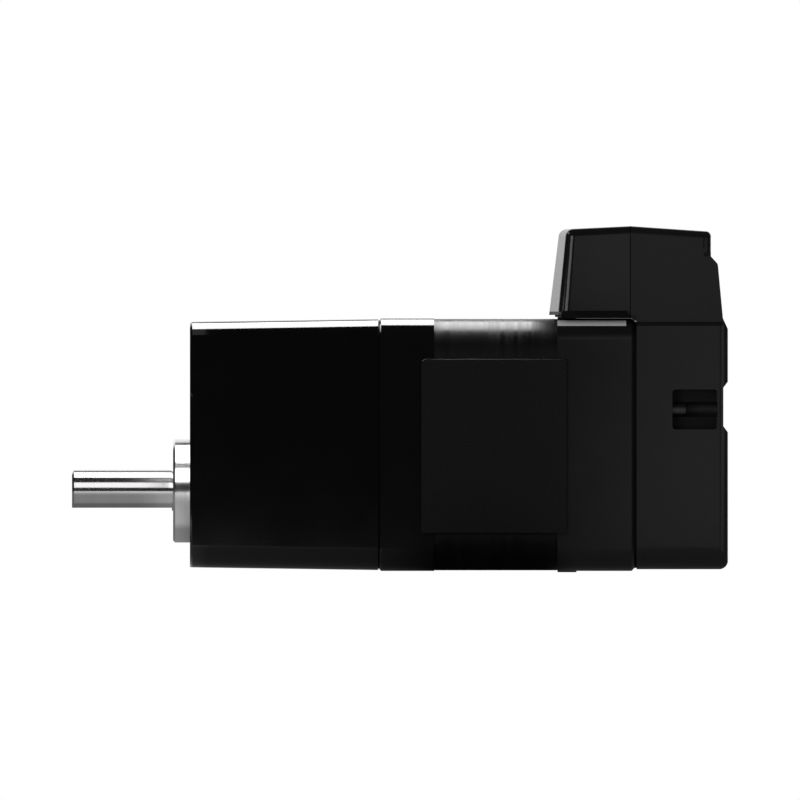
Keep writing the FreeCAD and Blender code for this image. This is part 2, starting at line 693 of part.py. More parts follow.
def first_wheel():
    """First-stage wheel, pressed on the layshaft behind the plate."""
    phase = mesh_angle(LAY_Y, LAY_Z, 0, AXIS_RISE) + math.pi / FIRST_WHEEL_TEETH
    teeth = gear(FIRST_WHEEL_TEETH, phase, FIRST_WHEEL_X, FIRST_WHEEL_END, LAY_Y, LAY_Z)
    hub = rod(FIRST_WHEEL_HUB_X, FIRST_WHEEL_END, FIRST_WHEEL_HUB, LAY_Y, LAY_Z)
    bore = rod(FIRST_WHEEL_HUB_X, FIRST_WHEEL_END, LAY_REAR_JOURNAL + SEAT, LAY_Y, LAY_Z)
    return fuse([teeth, hub]).cut(bore)


def bush(x0, x1, journal, flange_x):
    """Flanged plain bush, with its flange at one end."""
    outer = journal + BUSH_WALL
    body = rod(x0, x1, outer, LAY_Y, LAY_Z)
    flange = rod(flange_x, flange_x + BUSH_FLANGE, outer + BUSH_WALL, LAY_Y, LAY_Z)
    bore = rod(x0 - BUSH_FLANGE, x1 + BUSH_FLANGE, journal + RUN, LAY_Y, LAY_Z)
    return fuse([body, flange]).cut(bore)


def gear_plate():
    """Plate screwed to the ledge in the case, with the rear output bearing and the layshaft bush."""
    body = across(square(REAR_ROOM - CLEAR, REAR_ROOM_RADIUS), PLATE_X, PLATE_END)
    cuts = [
        rod(PLATE_X + PLATE_LIP, PLATE_END, OUTPUT_REAR_BEARING_RADIUS + SEAT, 0, 0),
        rod(PLATE_X, PLATE_END, OUTPUT_REAR_BEARING_RADIUS - PLATE_LIP, 0, 0),
        rod(PLATE_X, PLATE_END, LAY_REAR_JOURNAL + BUSH_WALL + SEAT, LAY_Y, LAY_Z)]
    for y, z in corners_of(PLATE_SCREW_PITCH):
        cuts.append(rod(PLATE_X, PLATE_END, SCREW_M3 + BOLT_CLEAR, y, z))
    return body.cut(cuts)


def screw(under_head, length, radius, head, head_height, y, z):
    """Plain screw along X with a round head towards the rear."""
    shank = rod(under_head - length, under_head, radius, y, z)
    return fuse([shank, rod(under_head, under_head + head_height, head, y, z)])


def gear_plate_screws():
    """Four screws that hold the gear plate."""
    length = PLATE_WIDTH + PLATE_SCREW_GRIP - CLEAR
    places = corners_of(PLATE_SCREW_PITCH)
    return Part.makeCompound([
        screw(PLATE_END, length, SCREW_M3, SCREW_M3_HEAD, SCREW_M3_HEAD_HEIGHT, y, z) for y, z in places])


def case_gasket():
    """Gasket between the gear case and the motor flange."""
    body = across(square(CASE_REAR - CLEAR, EDGE_RADIUS), CASE_LENGTH, FLANGE_X)
    cuts = [across(square(REAR_ROOM, REAR_ROOM_RADIUS), CASE_LENGTH, FLANGE_X)]
    cuts += [rod(CASE_LENGTH, FLANGE_X, BOLT_RADIUS + BOLT_CLEAR, y, z) for y, z in corners_of(BOLT_PITCH)]
    return body.cut(cuts)


# Motor

def front_flange():
    """Motor flange with a register for the gear case, a seal, the front bearing and room for the coils."""
    body = across(square(FRAME / 2, EDGE_RADIUS), FLANGE_X, STATOR_X)
    body = body.makeChamfer(FLANGE_CHAMFER, edges_at(body, FLANGE_X))
    register = across(square(REGISTER, REAR_ROOM_RADIUS), FLANGE_X - REGISTER_DEPTH, FLANGE_X)
    seal_end = FLANGE_X + FLANGE_SEAL_DEPTH
    bearing_end = FRONT_BEARING_X + FRONT_BEARING_WIDTH
    room_x = STATOR_X - COIL_ROOM_DEPTH
    hub_radius = FRONT_BEARING_RADIUS + BEARING_HUB_WALL
    room = rod(room_x, STATOR_X, COIL_ROOM).cut(rod(room_x, bearing_end + BEARING_LIP, hub_radius))
    cuts = [
        rod(FLANGE_X - REGISTER_DEPTH, seal_end, FLANGE_SEAL + SEAT),
        rod(seal_end, FRONT_BEARING_X, LIP_RADIUS),
        rod(FRONT_BEARING_X, STATOR_X, FRONT_BEARING_RADIUS + SEAT),
        room]
    cuts += [rod(FLANGE_X, STATOR_X, BOLT_RADIUS + BOLT_CLEAR, y, z) for y, z in corners_of(BOLT_PITCH)]
    return fuse([body, register]).cut(cuts)


def motor_seal():
    """Lip seal that keeps the gear grease out of the motor."""
    end = FLANGE_X + FLANGE_SEAL_DEPTH
    lip = FRONT_JOURNAL + SEAL_GAP
    waist = lip + SEAL_LIP
    lip_end = FLANGE_X + SEAL_LIP
    return turned([
        (FLANGE_X, lip), (FLANGE_X, FLANGE_SEAL), (end, FLANGE_SEAL), (end, waist), (lip_end, waist),
        (lip_end, lip)])


def motor_shaft():
    """Rotor shaft with the first pinion cut in its front end and the encoder journal at the rear."""
    phase = mesh_angle(0, AXIS_RISE, LAY_Y, LAY_Z)
    seat_x = FRONT_BEARING_X + FRONT_BEARING_WIDTH
    start = PINION_X - PINION_RELIEF
    neck_end = PINION_END + SHOULDER_ROOM
    journal_end = REAR_BEARING_X + REAR_BEARING_WIDTH + SHOULDER_ROOM
    end = HUB_END - ENCODER_MAGNET_DEPTH - CLEAR
    body = turned([
        (start, 0), (start, PINION_NECK), (neck_end, PINION_NECK), (neck_end, FRONT_JOURNAL),
        (seat_x, FRONT_JOURNAL), (seat_x, ROTOR_SEAT), (REAR_BEARING_X, ROTOR_SEAT),
        (REAR_BEARING_X, MOTOR_REAR_JOURNAL), (journal_end, MOTOR_REAR_JOURNAL),
        (journal_end, ENCODER_JOURNAL), (end, ENCODER_JOURNAL), (end, 0)])
    return fuse([body, gear(MOTOR_TEETH, phase, PINION_X, PINION_END, 0, AXIS_RISE)])


def rotor_core(x0, phase):
    """Toothed half of the rotor."""
    half = TOOTH_SHARE * math.pi / ROTOR_TEETH
    points = []
    for tooth in range(ROTOR_TEETH):
        middle = phase + 2 * math.pi * tooth / ROTOR_TEETH
        for angle, radius in ((-half, ROTOR_RADIUS - ROTOR_TOOTH_DEPTH), (-half, ROTOR_RADIUS),
                              (half, ROTOR_RADIUS), (half, ROTOR_RADIUS - ROTOR_TOOTH_DEPTH)):
            y = radius * math.cos(middle + angle)
            z = AXIS_RISE + radius * math.sin(middle + angle)
            points.append(FreeCAD.Vector(x0, y, z))
    face = Part.Face(Part.makePolygon(points + points[:1]))
    body = face.extrude(X_AXIS * ROTOR_CORE)
    return body.cut(rod(x0, x0 + ROTOR_CORE, ROTOR_SEAT + SEAT))


def rotor_magnet():
    """Ring magnet between the rotor halves."""
    x0 = ROTOR_X + ROTOR_CORE
    x1 = x0 + ROTOR_MAGNET
    return rod(x0, x1, MAGNET_RADIUS).cut(rod(x0, x1, ROTOR_SEAT + SEAT))


def pole():
    """One stator pole on the +Y side, with a toothed shoe."""
    face_radius = ROTOR_RADIUS + AIR_GAP
    pitch = 2 * math.pi / ROTOR_TEETH
    half = TOOTH_SHARE * pitch / 2
    root = YOKE_RADIUS + POLE_ROOT
    points = [(root, -POLE_HALF_WIDTH), (face_radius + SHOE_DEPTH, -POLE_HALF_WIDTH)]
    shoe_back = face_radius + SHOE_DEPTH / 2
    points.append((shoe_back * math.cos(SHOE_HALF_ANGLE), -shoe_back * math.sin(SHOE_HALF_ANGLE)))
    for tooth in range(POLE_TEETH):
        middle = (tooth - (POLE_TEETH - 1) / 2) * pitch
        for angle, radius in ((-half, face_radius + ROTOR_TOOTH_DEPTH), (-half, face_radius),
                              (half, face_radius), (half, face_radius + ROTOR_TOOTH_DEPTH)):
            points.append((radius * math.cos(middle + angle), radius * math.sin(middle + angle)))
    points.append((shoe_back * math.cos(SHOE_HALF_ANGLE), shoe_back * math.sin(SHOE_HALF_ANGLE)))
    points += [(face_radius + SHOE_DEPTH, POLE_HALF_WIDTH), (root, POLE_HALF_WIDTH)]
    corners = [(y, AXIS_RISE + z, 0) for y, z in points]
    return across(corners, STATOR_X, BRACKET_X)


def round_motor(shape):
    """Copies of a shape at every pole."""
    copies = []
    for i in range(POLES):
        turned_copy = shape.copy()
        turned_copy.rotate(FreeCAD.Vector(0, 0, AXIS_RISE), X_AXIS, i * 360 / POLES)
        copies.append(turned_copy)
    return copies


def stator_core():
    """Stack of laminations with eight toothed poles."""
    yoke = across(square(STATOR_HALF, STATOR_RADIUS), STATOR_X, BRACKET_X)
    yoke = yoke.cut(rod(STATOR_X, BRACKET_X, YOKE_RADIUS))
    core = fuse([yoke] + round_motor(pole()))
    holes = [rod(STATOR_X, BRACKET_X, BOLT_RADIUS + BOLT_CLEAR, y, z) for y, z in corners_of(BOLT_PITCH)]
    return core.cut(holes)


def coils():
    """One winding round each pole."""
    half = POLE_HALF_WIDTH + INSULATOR_MARGIN + COIL_GAP
    reach = INSULATOR + COIL_GAP
    outside = coil_block(reach + COIL_WALL, half + COIL_WALL, COIL_WALL)
    coil = outside.cut(coil_block(reach, half, COIL_CORNER))
    return Part.makeCompound(round_motor(coil))


def coil_block(reach, half, radius):
    """Block round a pole that reaches past both ends of the stack."""
    corners = rectangle((STATOR_X - reach, BRACKET_X + reach), (AXIS_RISE - half, AXIS_RISE + half), radius)
    face = Part.Face(outline(corners, side(COIL_INNER)))
    return face.extrude(FreeCAD.Vector(0, COIL_OUTER - COIL_INNER, 0))


def coil_insulator(face_x, step):
    """Moulded end piece between the stack and the windings, facing along X by the step's sign."""
    arm_ends = sorted((face_x + step * SEAT, face_x + step * INSULATOR))
    rim_ends = sorted((face_x + step * SEAT, face_x + step * INSULATOR_RIM_DEPTH))
    half = POLE_HALF_WIDTH + INSULATOR_MARGIN
    rim_radius = COIL_ROOM - MOULD_GAP
    arm_length = (INSULATOR_INNER, INSULATOR_RIM + MOULD_GAP)
    arm = box(arm_ends, arm_length, (AXIS_RISE - half, AXIS_RISE + half))
    rim = rod(*rim_ends, rim_radius).cut(rod(*rim_ends, INSULATOR_RIM))
    return fuse([rim] + round_motor(arm))


def rear_bracket():
    """Rear bracket with the rear bearing, posts for the encoder board and seats for the long bolts."""
    body = across(square(FRAME / 2, EDGE_RADIUS), BRACKET_X, BRACKET_END)
    body = body.makeChamfer(BRACKET_CHAMFER, edges_at(body, BRACKET_END))
    half = FRAME / 2 + PAD_HEIGHT
    pads = box((BRACKET_X, BRACKET_X + PAD_LENGTH), (-PAD_HALF_WIDTH, PAD_HALF_WIDTH),
               (AXIS_RISE - half, AXIS_RISE + half))
    body = fuse([body, pads])
    web_end = BRACKET_WEB_X + BRACKET_WEB
    bearing_end = REAR_BEARING_X + REAR_BEARING_WIDTH
    hub_radius = REAR_BEARING_RADIUS + BEARING_HUB_WALL
    front_room = rod(BRACKET_X, BRACKET_WEB_X, COIL_ROOM)
    front_room = front_room.cut(rod(REAR_BEARING_X - BEARING_LIP, BRACKET_WEB_X, hub_radius))
    rear_room = rod(web_end, BRACKET_END, ENCODER_ROOM).cut(rod(web_end, BRACKET_HUB_END, hub_radius))
    slot_y = (-LEAD_SLOT_WIDTH / 2, LEAD_SLOT_WIDTH / 2)
    slot_z = AXIS_RISE + ENCODER_ROOM - LEAD_SLOT_INSET
    cuts = [
        front_room, rear_room,
        rod(REAR_BEARING_X - BEARING_LIP, bearing_end + WASHER_WIDTH + SEAT, REAR_BEARING_RADIUS + SEAT),
        rod(bearing_end, BRACKET_HUB_END, LIP_RADIUS),
        box((BRACKET_WEB_X, web_end), slot_y, (slot_z, slot_z + LEAD_SLOT_HEIGHT))]
    for y, z in corners_of(BOLT_PITCH):
        cuts.append(rod(BRACKET_X, BRACKET_END, BOLT_RADIUS + BOLT_CLEAR, y, z))
        cuts.append(rod(BRACKET_END - BOLT_HEAD_HEIGHT, BRACKET_END, BOLT_HEAD + BOLT_CLEAR, y, z))
    for y in (-COVER_SCREW_Y, COVER_SCREW_Y):
        cuts.append(rod(BRACKET_END - COVER_SCREW_GRIP, BRACKET_END, SCREW_M2 + SEAT, y, COVER_SCREW_Z))
    body = body.cut(cuts)
    posts = [rod(web_end - POST_ROOT, BOARD_X, POST_RADIUS, y, z) for y, z in corners_of(POST_PITCH)]
    body = fuse([body] + posts)
    return body.cut([
        rod(BOARD_X - POST_HOLE_DEPTH, BOARD_X, SCREW_M2 + SEAT, y, z) for y, z in corners_of(POST_PITCH)])


def through_bolts():
    """Four long socket-head bolts from the rear bracket into the gear case."""
    seat = BRACKET_END - BOLT_HEAD_HEIGHT
    length = seat - CASE_LENGTH + BOLT_GRIP - CLEAR
    head_end = seat + BOLT_HEAD_HEIGHT
    bolts = []
    for y, z in corners_of(BOLT_PITCH):
        bolt = screw(seat, length, BOLT_RADIUS, BOLT_HEAD, BOLT_HEAD_HEIGHT - MOULD_GAP, y, z)
        hexagon = []
        for i in range(6):
            angle = i * math.pi / 3
            corner = BOLT_SOCKET / math.sqrt(3)
            hexagon.append((y + corner * math.cos(angle), z + corner * math.sin(angle), 0))
        bolts.append(bolt.cut(across(hexagon, head_end - BOLT_SOCKET_DEPTH, head_end)))
    return Part.makeCompound(bolts)


def preload_washer():
    """Spring washer behind the rear bearing."""
    start = REAR_BEARING_X + REAR_BEARING_WIDTH + SEAT
    end = start + WASHER_WIDTH - SEAT
    return rod(start, end, REAR_BEARING_RADIUS - CLEAR).cut(rod(start, end, WASHER_BORE))


def side_plate():
    """Bare plate fixed to the side of the motor."""
    corners = rectangle(SIDE_PLATE_X, SIDE_PLATE_Z, SIDE_PLATE_RADIUS)
    back = -FRAME / 2
    front = back - SIDE_PLATE_WIDTH
    body = Part.Face(outline(corners, side(back))).extrude(FreeCAD.Vector(0, -SIDE_PLATE_WIDTH, 0))
    rim = [edge for edge in body.Edges if all(abs(v.Y - front) < 1e-4 for v in edge.Vertexes)]
    return body.makeChamfer(SIDE_PLATE_CHAMFER, rim)


# Encoder

def encoder_hub():
    """Cup on the rear of the motor shaft that holds the encoder magnet."""
    floor = HUB_END - ENCODER_MAGNET_DEPTH
    return turned([
        (HUB_X, ENCODER_JOURNAL + SEAT), (HUB_X, HUB_RADIUS), (HUB_END, HUB_RADIUS),
        (HUB_END, ENCODER_MAGNET_RADIUS + SEAT), (floor, ENCODER_MAGNET_RADIUS + SEAT),
        (floor, ENCODER_JOURNAL + SEAT)])


def encoder_magnet():
    """Disc magnet read by the encoder."""
    return rod(HUB_END - ENCODER_MAGNET_DEPTH + SEAT, HUB_END, ENCODER_MAGNET_RADIUS)


def encoder_board():
    """Circuit board on four posts."""
    half = BOARD_HALF
    cut = half - BOARD_CORNER
    ends = [(half, cut), (cut, half), (-cut, half), (-half, cut), (-half, -cut), (-cut, -half), (cut, -half),
            (half, -cut)]
    body = across([(y, AXIS_RISE + z, 0) for y, z in ends], BOARD_X, BOARD_X + BOARD_WIDTH)
    holes = corners_of(POST_PITCH)
    return body.cut([rod(BOARD_X, BOARD_X + BOARD_WIDTH, SCREW_M2 + BOLT_CLEAR, y, z) for y, z in holes])


def encoder_chips():
    """Sensor facing the magnet, two chips and a plug header on the back of the board."""
    half = SENSOR_HALF
    back = BOARD_X + BOARD_WIDTH
    sensor = box((BOARD_X - CHIP_HEIGHT, BOARD_X), (-half, half), (AXIS_RISE - half, AXIS_RISE + half))
    chips = [
        box((back, back + CHIP_HEIGHT), (y - half, y + half), (AXIS_RISE - half, AXIS_RISE + half))
        for y in (-2 * half, 2 * half)]
    middle = AXIS_RISE + BOARD_HALF - HEADER_INSET
    header = box((back, back + HEADER_HEIGHT), (-HEADER_HALF_LENGTH, HEADER_HALF_LENGTH),
                 (middle - HEADER_HALF_WIDTH, middle + HEADER_HALF_WIDTH))
    return Part.makeCompound([sensor] + chips + [header])


def board_screws():
    """Four screws that hold the encoder board."""
    seat = BOARD_X + BOARD_WIDTH
    length = BOARD_WIDTH + POST_HOLE_DEPTH - CLEAR
    places = corners_of(POST_PITCH)
    return Part.makeCompound([
        screw(seat, length, SCREW_M2, SCREW_M2_HEAD, SCREW_M2_HEAD_HEIGHT, y, z) for y, z in places])


# Rear cover and terminal box

def box_half(z):
    """Half-width of the terminal box at a height."""
    return BOX_BASE_HALF - BOX_SIDE_LEAN * (z - BOX_BASE_Z)


def chamber(inset, x0, x1):
    """Wiring room of the terminal box, made smaller by an inset."""
    low = CHAMBER_Z[0] + inset
    high = CHAMBER_Z[1] - inset
    low_half = box_half(low) - BOX_WALL - inset
    high_half = box_half(high) - BOX_WALL - inset
    radius = CHAMBER_RADIUS
    return across([(-low_half, low, radius), (low_half, low, radius), (high_half, high, radius),
                   (-high_half, high, radius)], x0, x1)


def cover_profile():
    """Side view of the rear cover: a groove across the back and a latch ledge under the top."""
    back = COVER_END
    low, high = GROOVE_Z
    front = BOX_PART_X + BOX_PART_GAP
    return [
        (COVER_X, COVER_BOTTOM, 0), (back, COVER_BOTTOM, COVER_REAR_RADIUS), (back, low - GROOVE_BEVEL, 0),
        (back - GROOVE_DEPTH, low, 0), (back - GROOVE_DEPTH, high, 0), (back, high + GROOVE_BEVEL, 0),
        (back, BOX_BASE_Z - SHOULDER_DROP, UPPER_RADIUS),
        (back - SLOPE_FOOT_INSET, BOX_BASE_Z - SLOPE_FOOT_DROP, 0),
        (back - SLOPE_TOP_INSET, BOX_BASE_Z + SLOPE_TOP_RISE, UPPER_RADIUS), (UPPER_REAR_X, LATCH_Z, 0),
        (UPPER_REAR_X, BOX_BASE_Z + UPPER_REAR_RISE, UPPER_RADIUS), (front, BOX_PEAK_Z, 0),
        (front, BOX_BASE_Z, 0), (COVER_X, BOX_BASE_Z, 0)]


def cover_section():
    """View of the rear cover from behind: the terminal box stands in from the lower part on a ledge."""
    half = COVER_HALF
    base_half = box_half(LEDGE_Z)
    top = BOX_PEAK_Z + OVERSHOOT
    right = [(half, COVER_BOTTOM, EDGE_RADIUS), (half, LEDGE_Z - LEDGE_BEVEL, 0), (base_half, LEDGE_Z, 0),
             (box_half(top), top, 0)]
    left = [(-y, z, radius) for y, z, radius in reversed(right)]
    return right + left


def cover_shell():
    """Outer form of the rear cover with its edges rounded."""
    half = COVER_HALF
    front = BOX_PART_X
    radius = COVER_SIDE_RADIUS
    corners = [(front, -half, 0), (COVER_END, -half, radius), (COVER_END, half, radius), (front, half, 0)]
    height = BOX_PEAK_Z - COVER_BOTTOM + 2 * OVERSHOOT
    footprint = Part.Face(outline(corners, plan(COVER_BOTTOM - OVERSHOOT)))
    body = along(cover_profile(), FRAME)
    body = body.common([across(cover_section(), front, COVER_END + OVERSHOOT)])
    body = body.common([footprint.extrude(FreeCAD.Vector(0, 0, height))])
    rims = [edge for edge in body.Edges if on_top_rim(edge)]
    return body.makeFillet(BOX_EDGE, rims)


def on_top_rim(edge):
    """True for the two long edges along the top of the rear half of the box."""
    ends = edge.Vertexes
    lengthwise = edge.Length > (UPPER_REAR_X - BOX_PART_X) / 2 and ends[0].Y * ends[1].Y > 0
    high = all(vertex.Z > LATCH_Z + LATCH_HEIGHT + OVERSHOOT for vertex in ends)
    return lengthwise and high and abs(ends[0].Y) > COVER_HALF / 2


def pocket_block(sign):
    """Solid round one screw pocket, inside the cover."""
    low, high = POCKET_Z
    y = sorted((sign * BLOCK_INNER, sign * (COVER_HALF - LEDGE_BEVEL)))
    return box((COVER_X, POCKET_X[1]), y, (low - POCKET_WALL, high + POCKET_WALL))


def pocket_room(sign):
    """Pocket with its driver channel and the hole for the screw."""
    seat = POCKET_X[0]
    depth = COVER_HALF - POCKET_FLOOR + OVERSHOOT
    wire = outline(rectangle(POCKET_X, POCKET_Z, POCKET_RADIUS), side(sign * POCKET_FLOOR))
    window = Part.Face(wire).extrude(FreeCAD.Vector(0, sign * depth, 0))
    y = sign * COVER_SCREW_Y
    channel = rod(seat, COVER_END, DRIVER_CHANNEL, y, COVER_SCREW_Z)
    hole = rod(COVER_X, seat, SCREW_M2 + BOLT_CLEAR, y, COVER_SCREW_Z)
    return [window, channel, hole]


def latch_notch(sign):
    """Small catch under the top edge at one side of the back."""
    y = sorted((sign * (COVER_HALF - LATCH_LENGTH), sign * COVER_HALF))
    return box((UPPER_REAR_X - LATCH_DEPTH, UPPER_REAR_X + LATCH_DEPTH), y, (LATCH_Z, LATCH_Z + LATCH_HEIGHT))


def cover_lip():
    """Lip under the rear half of the terminal box, hooked over the bevelled edge of the bracket."""
    front = BOX_PART_X + BOX_PART_GAP
    rear = COVER_X + OVERSHOOT
    bevel = BRACKET_END - BRACKET_CHAMFER
    drop = BOX_FOOT_Z - (AXIS_RISE + COVER_HALF - CLEAR + MOULD_GAP)
    top = BOX_BASE_Z + OVERSHOOT
    return along([
        (front, BOX_FOOT_Z, 0), (bevel, BOX_FOOT_Z, 0), (bevel + drop, BOX_FOOT_Z - drop, 0),
        (rear, BOX_FOOT_Z - drop, 0), (rear, top, 0), (front, top, 0)], PLINTH_HALF)


def rear_cover():
    """Moulded rear cover: encoder cover and rear half of the terminal box in one piece."""
    inner = COVER_HALF - COVER_WALL
    low = COVER_BOTTOM + COVER_WALL
    ceiling = LEDGE_Z - COVER_WALL
    floor_radius = EDGE_RADIUS - COVER_WALL
    corners = [(-inner, low, floor_radius), (inner, low, floor_radius), (inner, ceiling, COVER_SIDE_RADIUS),
               (-inner, ceiling, COVER_SIDE_RADIUS)]
    room = across(corners, COVER_X, COVER_END - COVER_WALL - GROOVE_DEPTH)
    throat = box((COVER_X + COVER_WALL, CHAMBER_REAR_X - COVER_WALL), (-inner / 2, inner / 2),
                 (ceiling - COVER_WALL, CHAMBER_Z[0] + COVER_WALL))
    body = cover_shell().cut([room, chamber(0, BOX_PART_X, CHAMBER_REAR_X), throat])
    body = fuse([body, cover_lip(), pocket_block(-1), pocket_block(1)])
    cuts = []
    for sign in (-1, 1):
        cuts += pocket_room(sign)
        cuts.append(latch_notch(sign))
    return body.cut(cuts)


def rear_cover_gasket():
    """Gasket between the rear bracket and the rear cover."""
    inner = COVER_HALF - COVER_WALL + CLEAR
    ring = across(square(COVER_HALF - CLEAR, EDGE_RADIUS), BRACKET_END, COVER_X)
    return ring.cut(across(square(inner, EDGE_RADIUS / 2), BRACKET_END, COVER_X))


def rear_cover_screws():
    """Two screws in the side pockets."""
    seat = POCKET_X[0]
    length = seat - BRACKET_END + COVER_SCREW_GRIP - CLEAR
    return Part.makeCompound([
        screw(seat, length, SCREW_M2, COVER_SCREW_HEAD, COVER_SCREW_HEAD_LENGTH, y, COVER_SCREW_Z)
        for y in (-COVER_SCREW_Y, COVER_SCREW_Y)])


def box_front(z):
    """Station of the leaning front face at a height."""
    return BOX_FRONT_X + BOX_FRONT_LEAN * (z - BOX_BASE_Z)


def hood_outline(z, radius, back=0, aside=0):
    """Plan of the hood at a height, or set back from it: a flat face between cheeks that fall back."""
    half = box_half(z) - aside
    cheek = BOX_FRONT_X + BOX_CHEEK_STEP + BOX_CHEEK_LEAN * (z - BOX_BASE_Z) + back
    right = [(BOX_PART_X, half, 0), (cheek, half, radius), (box_front(z) + back, BOX_FACE_HALF, 0)]
    left = [(x, -y, corner) for x, y, corner in reversed(right)]
    return outline(right + left, plan(z))


def hood_plinth():
    """Foot of the hood on the bracket, stepped over the bracket's top pad."""
    foot = hood_outline(BOX_BASE_Z, BOX_FOOT_CORNER, PLINTH_FRONT_INSET, PLINTH_SIDE_INSET)
    block = Part.Face(foot).extrude(FreeCAD.Vector(0, 0, BOX_FOOT_Z - BOX_BASE_Z))
    half = PAD_HALF_WIDTH + MOULD_GAP
    pad_end = BRACKET_X + PAD_LENGTH + MOULD_GAP
    pad = box((BRACKET_X - 2 * OVERSHOOT, pad_end), (-half, half), (BOX_FOOT_Z - OVERSHOOT, BOX_FOOT_Z + PAD_HEIGHT))
    return block.cut([pad])


def terminal_hood():
    """Front half of the terminal box: leaning face, tapering round corners and a crowned top."""
    foot = hood_outline(BOX_BASE_Z, BOX_FOOT_CORNER)
    body = Part.makeLoft([foot, hood_outline(BOX_PEAK_Z + OVERSHOOT, BOX_TOP_CORNER)], True, True)
    ahead = BOX_FRONT_X - OVERSHOOT
    crown = along([
        (ahead, BOX_BASE_Z, 0), (BOX_PART_X, BOX_BASE_Z, 0), (BOX_PART_X, BOX_PEAK_Z, 0),
        (box_front(BOX_FRONT_Z), BOX_FRONT_Z, 0), (ahead, BOX_FRONT_Z, 0)], FRAME)
    body = body.common([crown])
    rims = [edge for edge in body.Edges
            if all(v.Z > BOX_FRONT_Z - BOX_EDGE for v in edge.Vertexes) and not in_plane(edge, BOX_PART_X)]
    body = body.makeFillet(BOX_EDGE, rims)
    room_x = box_front(CHAMBER_Z[1]) + BOX_WALL
    hole = across(rectangle((-SOCKET_HALF, SOCKET_HALF), SOCKET_Z, SOCKET_RADIUS), ahead, room_x)
    body = fuse([body, hood_plinth()]).cut([chamber(0, room_x, BOX_PART_X), hole])
    spigot_x = BOX_PART_X - SPIGOT_LENGTH
    spigot_end = BOX_PART_X + SPIGOT_LENGTH
    root = chamber(-SPIGOT_ROOT, spigot_x, BOX_PART_X)
    spigot = chamber(SPIGOT_GAP, spigot_x, spigot_end)
    inside = chamber(SPIGOT_GAP + SPIGOT_WALL, spigot_x, spigot_end)
    return fuse([body, root.cut(inside), spigot.cut(inside)])


def terminal_gasket():
    """Thin gasket between the two halves of the terminal box."""
    x1 = BOX_PART_X + BOX_PART_GAP
    low = BOX_BASE_Z + TERMINAL_GASKET_INSET
    right = [(PLINTH_HALF, BOX_FOOT_Z, 0), (box_half(low) - TERMINAL_GASKET_INSET, low, 0),
             (box_half(BOX_PEAK_Z) - TERMINAL_GASKET_INSET, BOX_PEAK_Z, BOX_EDGE)]
    left = [(-y, z, radius) for y, z, radius in reversed(right)]
    return across(right + left, BOX_PART_X, x1).cut(chamber(0, BOX_PART_X, x1))


def connector_insert():
    """Connector body with an open mouth in the front of the terminal box."""
    half = SOCKET_HALF - MOULD_GAP
    low = SOCKET_Z[0] + MOULD_GAP
    high = SOCKET_Z[1] - MOULD_GAP
    wall = SOCKET_WALL
    body = across(rectangle((-half, half), (low, high), SOCKET_RADIUS), BOX_FRONT_X, SOCKET_END_X)
    lean = along([
        (box_front(low) + SOCKET_SINK, low, 0), (SOCKET_END_X, low, 0), (SOCKET_END_X, high, 0),
        (box_front(high) + SOCKET_SINK, high, 0)], FRAME)
    body = body.common([lean])
    flange_end = SOCKET_FLANGE_X + SOCKET_FLANGE
    flange = box((SOCKET_FLANGE_X, flange_end), (-half - wall, half + wall), (low - wall, high + wall))
    inner = rectangle((wall - half, half - wall), (low + wall, high - wall), SOCKET_RADIUS)
    mouth = across(inner, BOX_FRONT_X, SOCKET_BACK_X)
    body = fuse([body, flange]).cut([mouth])
    return body.cut([rod(SOCKET_BACK_X, SOCKET_END_X, PIN_RADIUS + SEAT, y, z) for y, z in pin_places()])


def pin_places():
    """Places of the contact pins in two rows."""
    middle = (SOCKET_Z[0] + SOCKET_Z[1]) / 2
    first = -PIN_PITCH * (PINS_PER_ROW - 1) / 2
    columns = [first + PIN_PITCH * i for i in range(PINS_PER_ROW)]
    return [(y, middle + row * PIN_PITCH / 2) for row in (-1, 1) for y in columns]


def connector_pins():
    """Contact pins with their soldering tails."""
    tip = SOCKET_BACK_X - PIN_REACH
    tail = SOCKET_END_X + PIN_TAIL
    return Part.makeCompound([rod(tip, tail, PIN_RADIUS, y, z) for y, z in pin_places()])


# Write one file for each piece

def save(name, shape):
    shape.exportStep(os.path.join("parts", name + ".step"))


def save_bearing(name, bore, outer, width, x0, y=0.0, z=AXIS_RISE):
    outer_ring, inner_ring = bearing(bore, outer, width, x0, y, z)
    save(name + "_outer_ring", outer_ring)
    save(name + "_inner_ring", inner_ring)


os.makedirs("parts", exist_ok=True)
save("gear_case", gear_case())
save("pilot_boss", pilot_boss())
save("output_seal", output_seal())
save("output_shaft", output_shaft())
save("output_key", key_block(0, KEY_FOOT + SEAT, KEY_TOP))
save("output_wheel", output_wheel())
save("output_retaining_ring", retaining_ring())
save_bearing("output_front_bearing", SHAFT_RADIUS, OUTPUT_FRONT_BEARING_RADIUS, OUTPUT_FRONT_BEARING_WIDTH,
             PILOT_SEAT - OUTPUT_FRONT_BEARING_WIDTH, 0, 0)
save_bearing("output_rear_bearing", REAR_JOURNAL, OUTPUT_REAR_BEARING_RADIUS, OUTPUT_REAR_BEARING_WIDTH,
             PLATE_X + PLATE_LIP, 0, 0)
save("layshaft", layshaft())
save("first_wheel", first_wheel())
save("layshaft_front_bush", bush(LAY_POCKET_X + SEAT, CASE_WALL + BUSH_FLANGE, LAY_FRONT_JOURNAL, CASE_WALL))
save("layshaft_rear_bush", bush(PLATE_X, PLATE_END, LAY_REAR_JOURNAL, PLATE_X - BUSH_FLANGE))
save("gear_plate", gear_plate())
save("gear_plate_screws", gear_plate_screws())
save("case_gasket", case_gasket())
save("front_flange", front_flange())
save("motor_seal", motor_seal())
save_bearing("rotor_front_bearing", FRONT_JOURNAL, FRONT_BEARING_RADIUS, FRONT_BEARING_WIDTH, FRONT_BEARING_X)
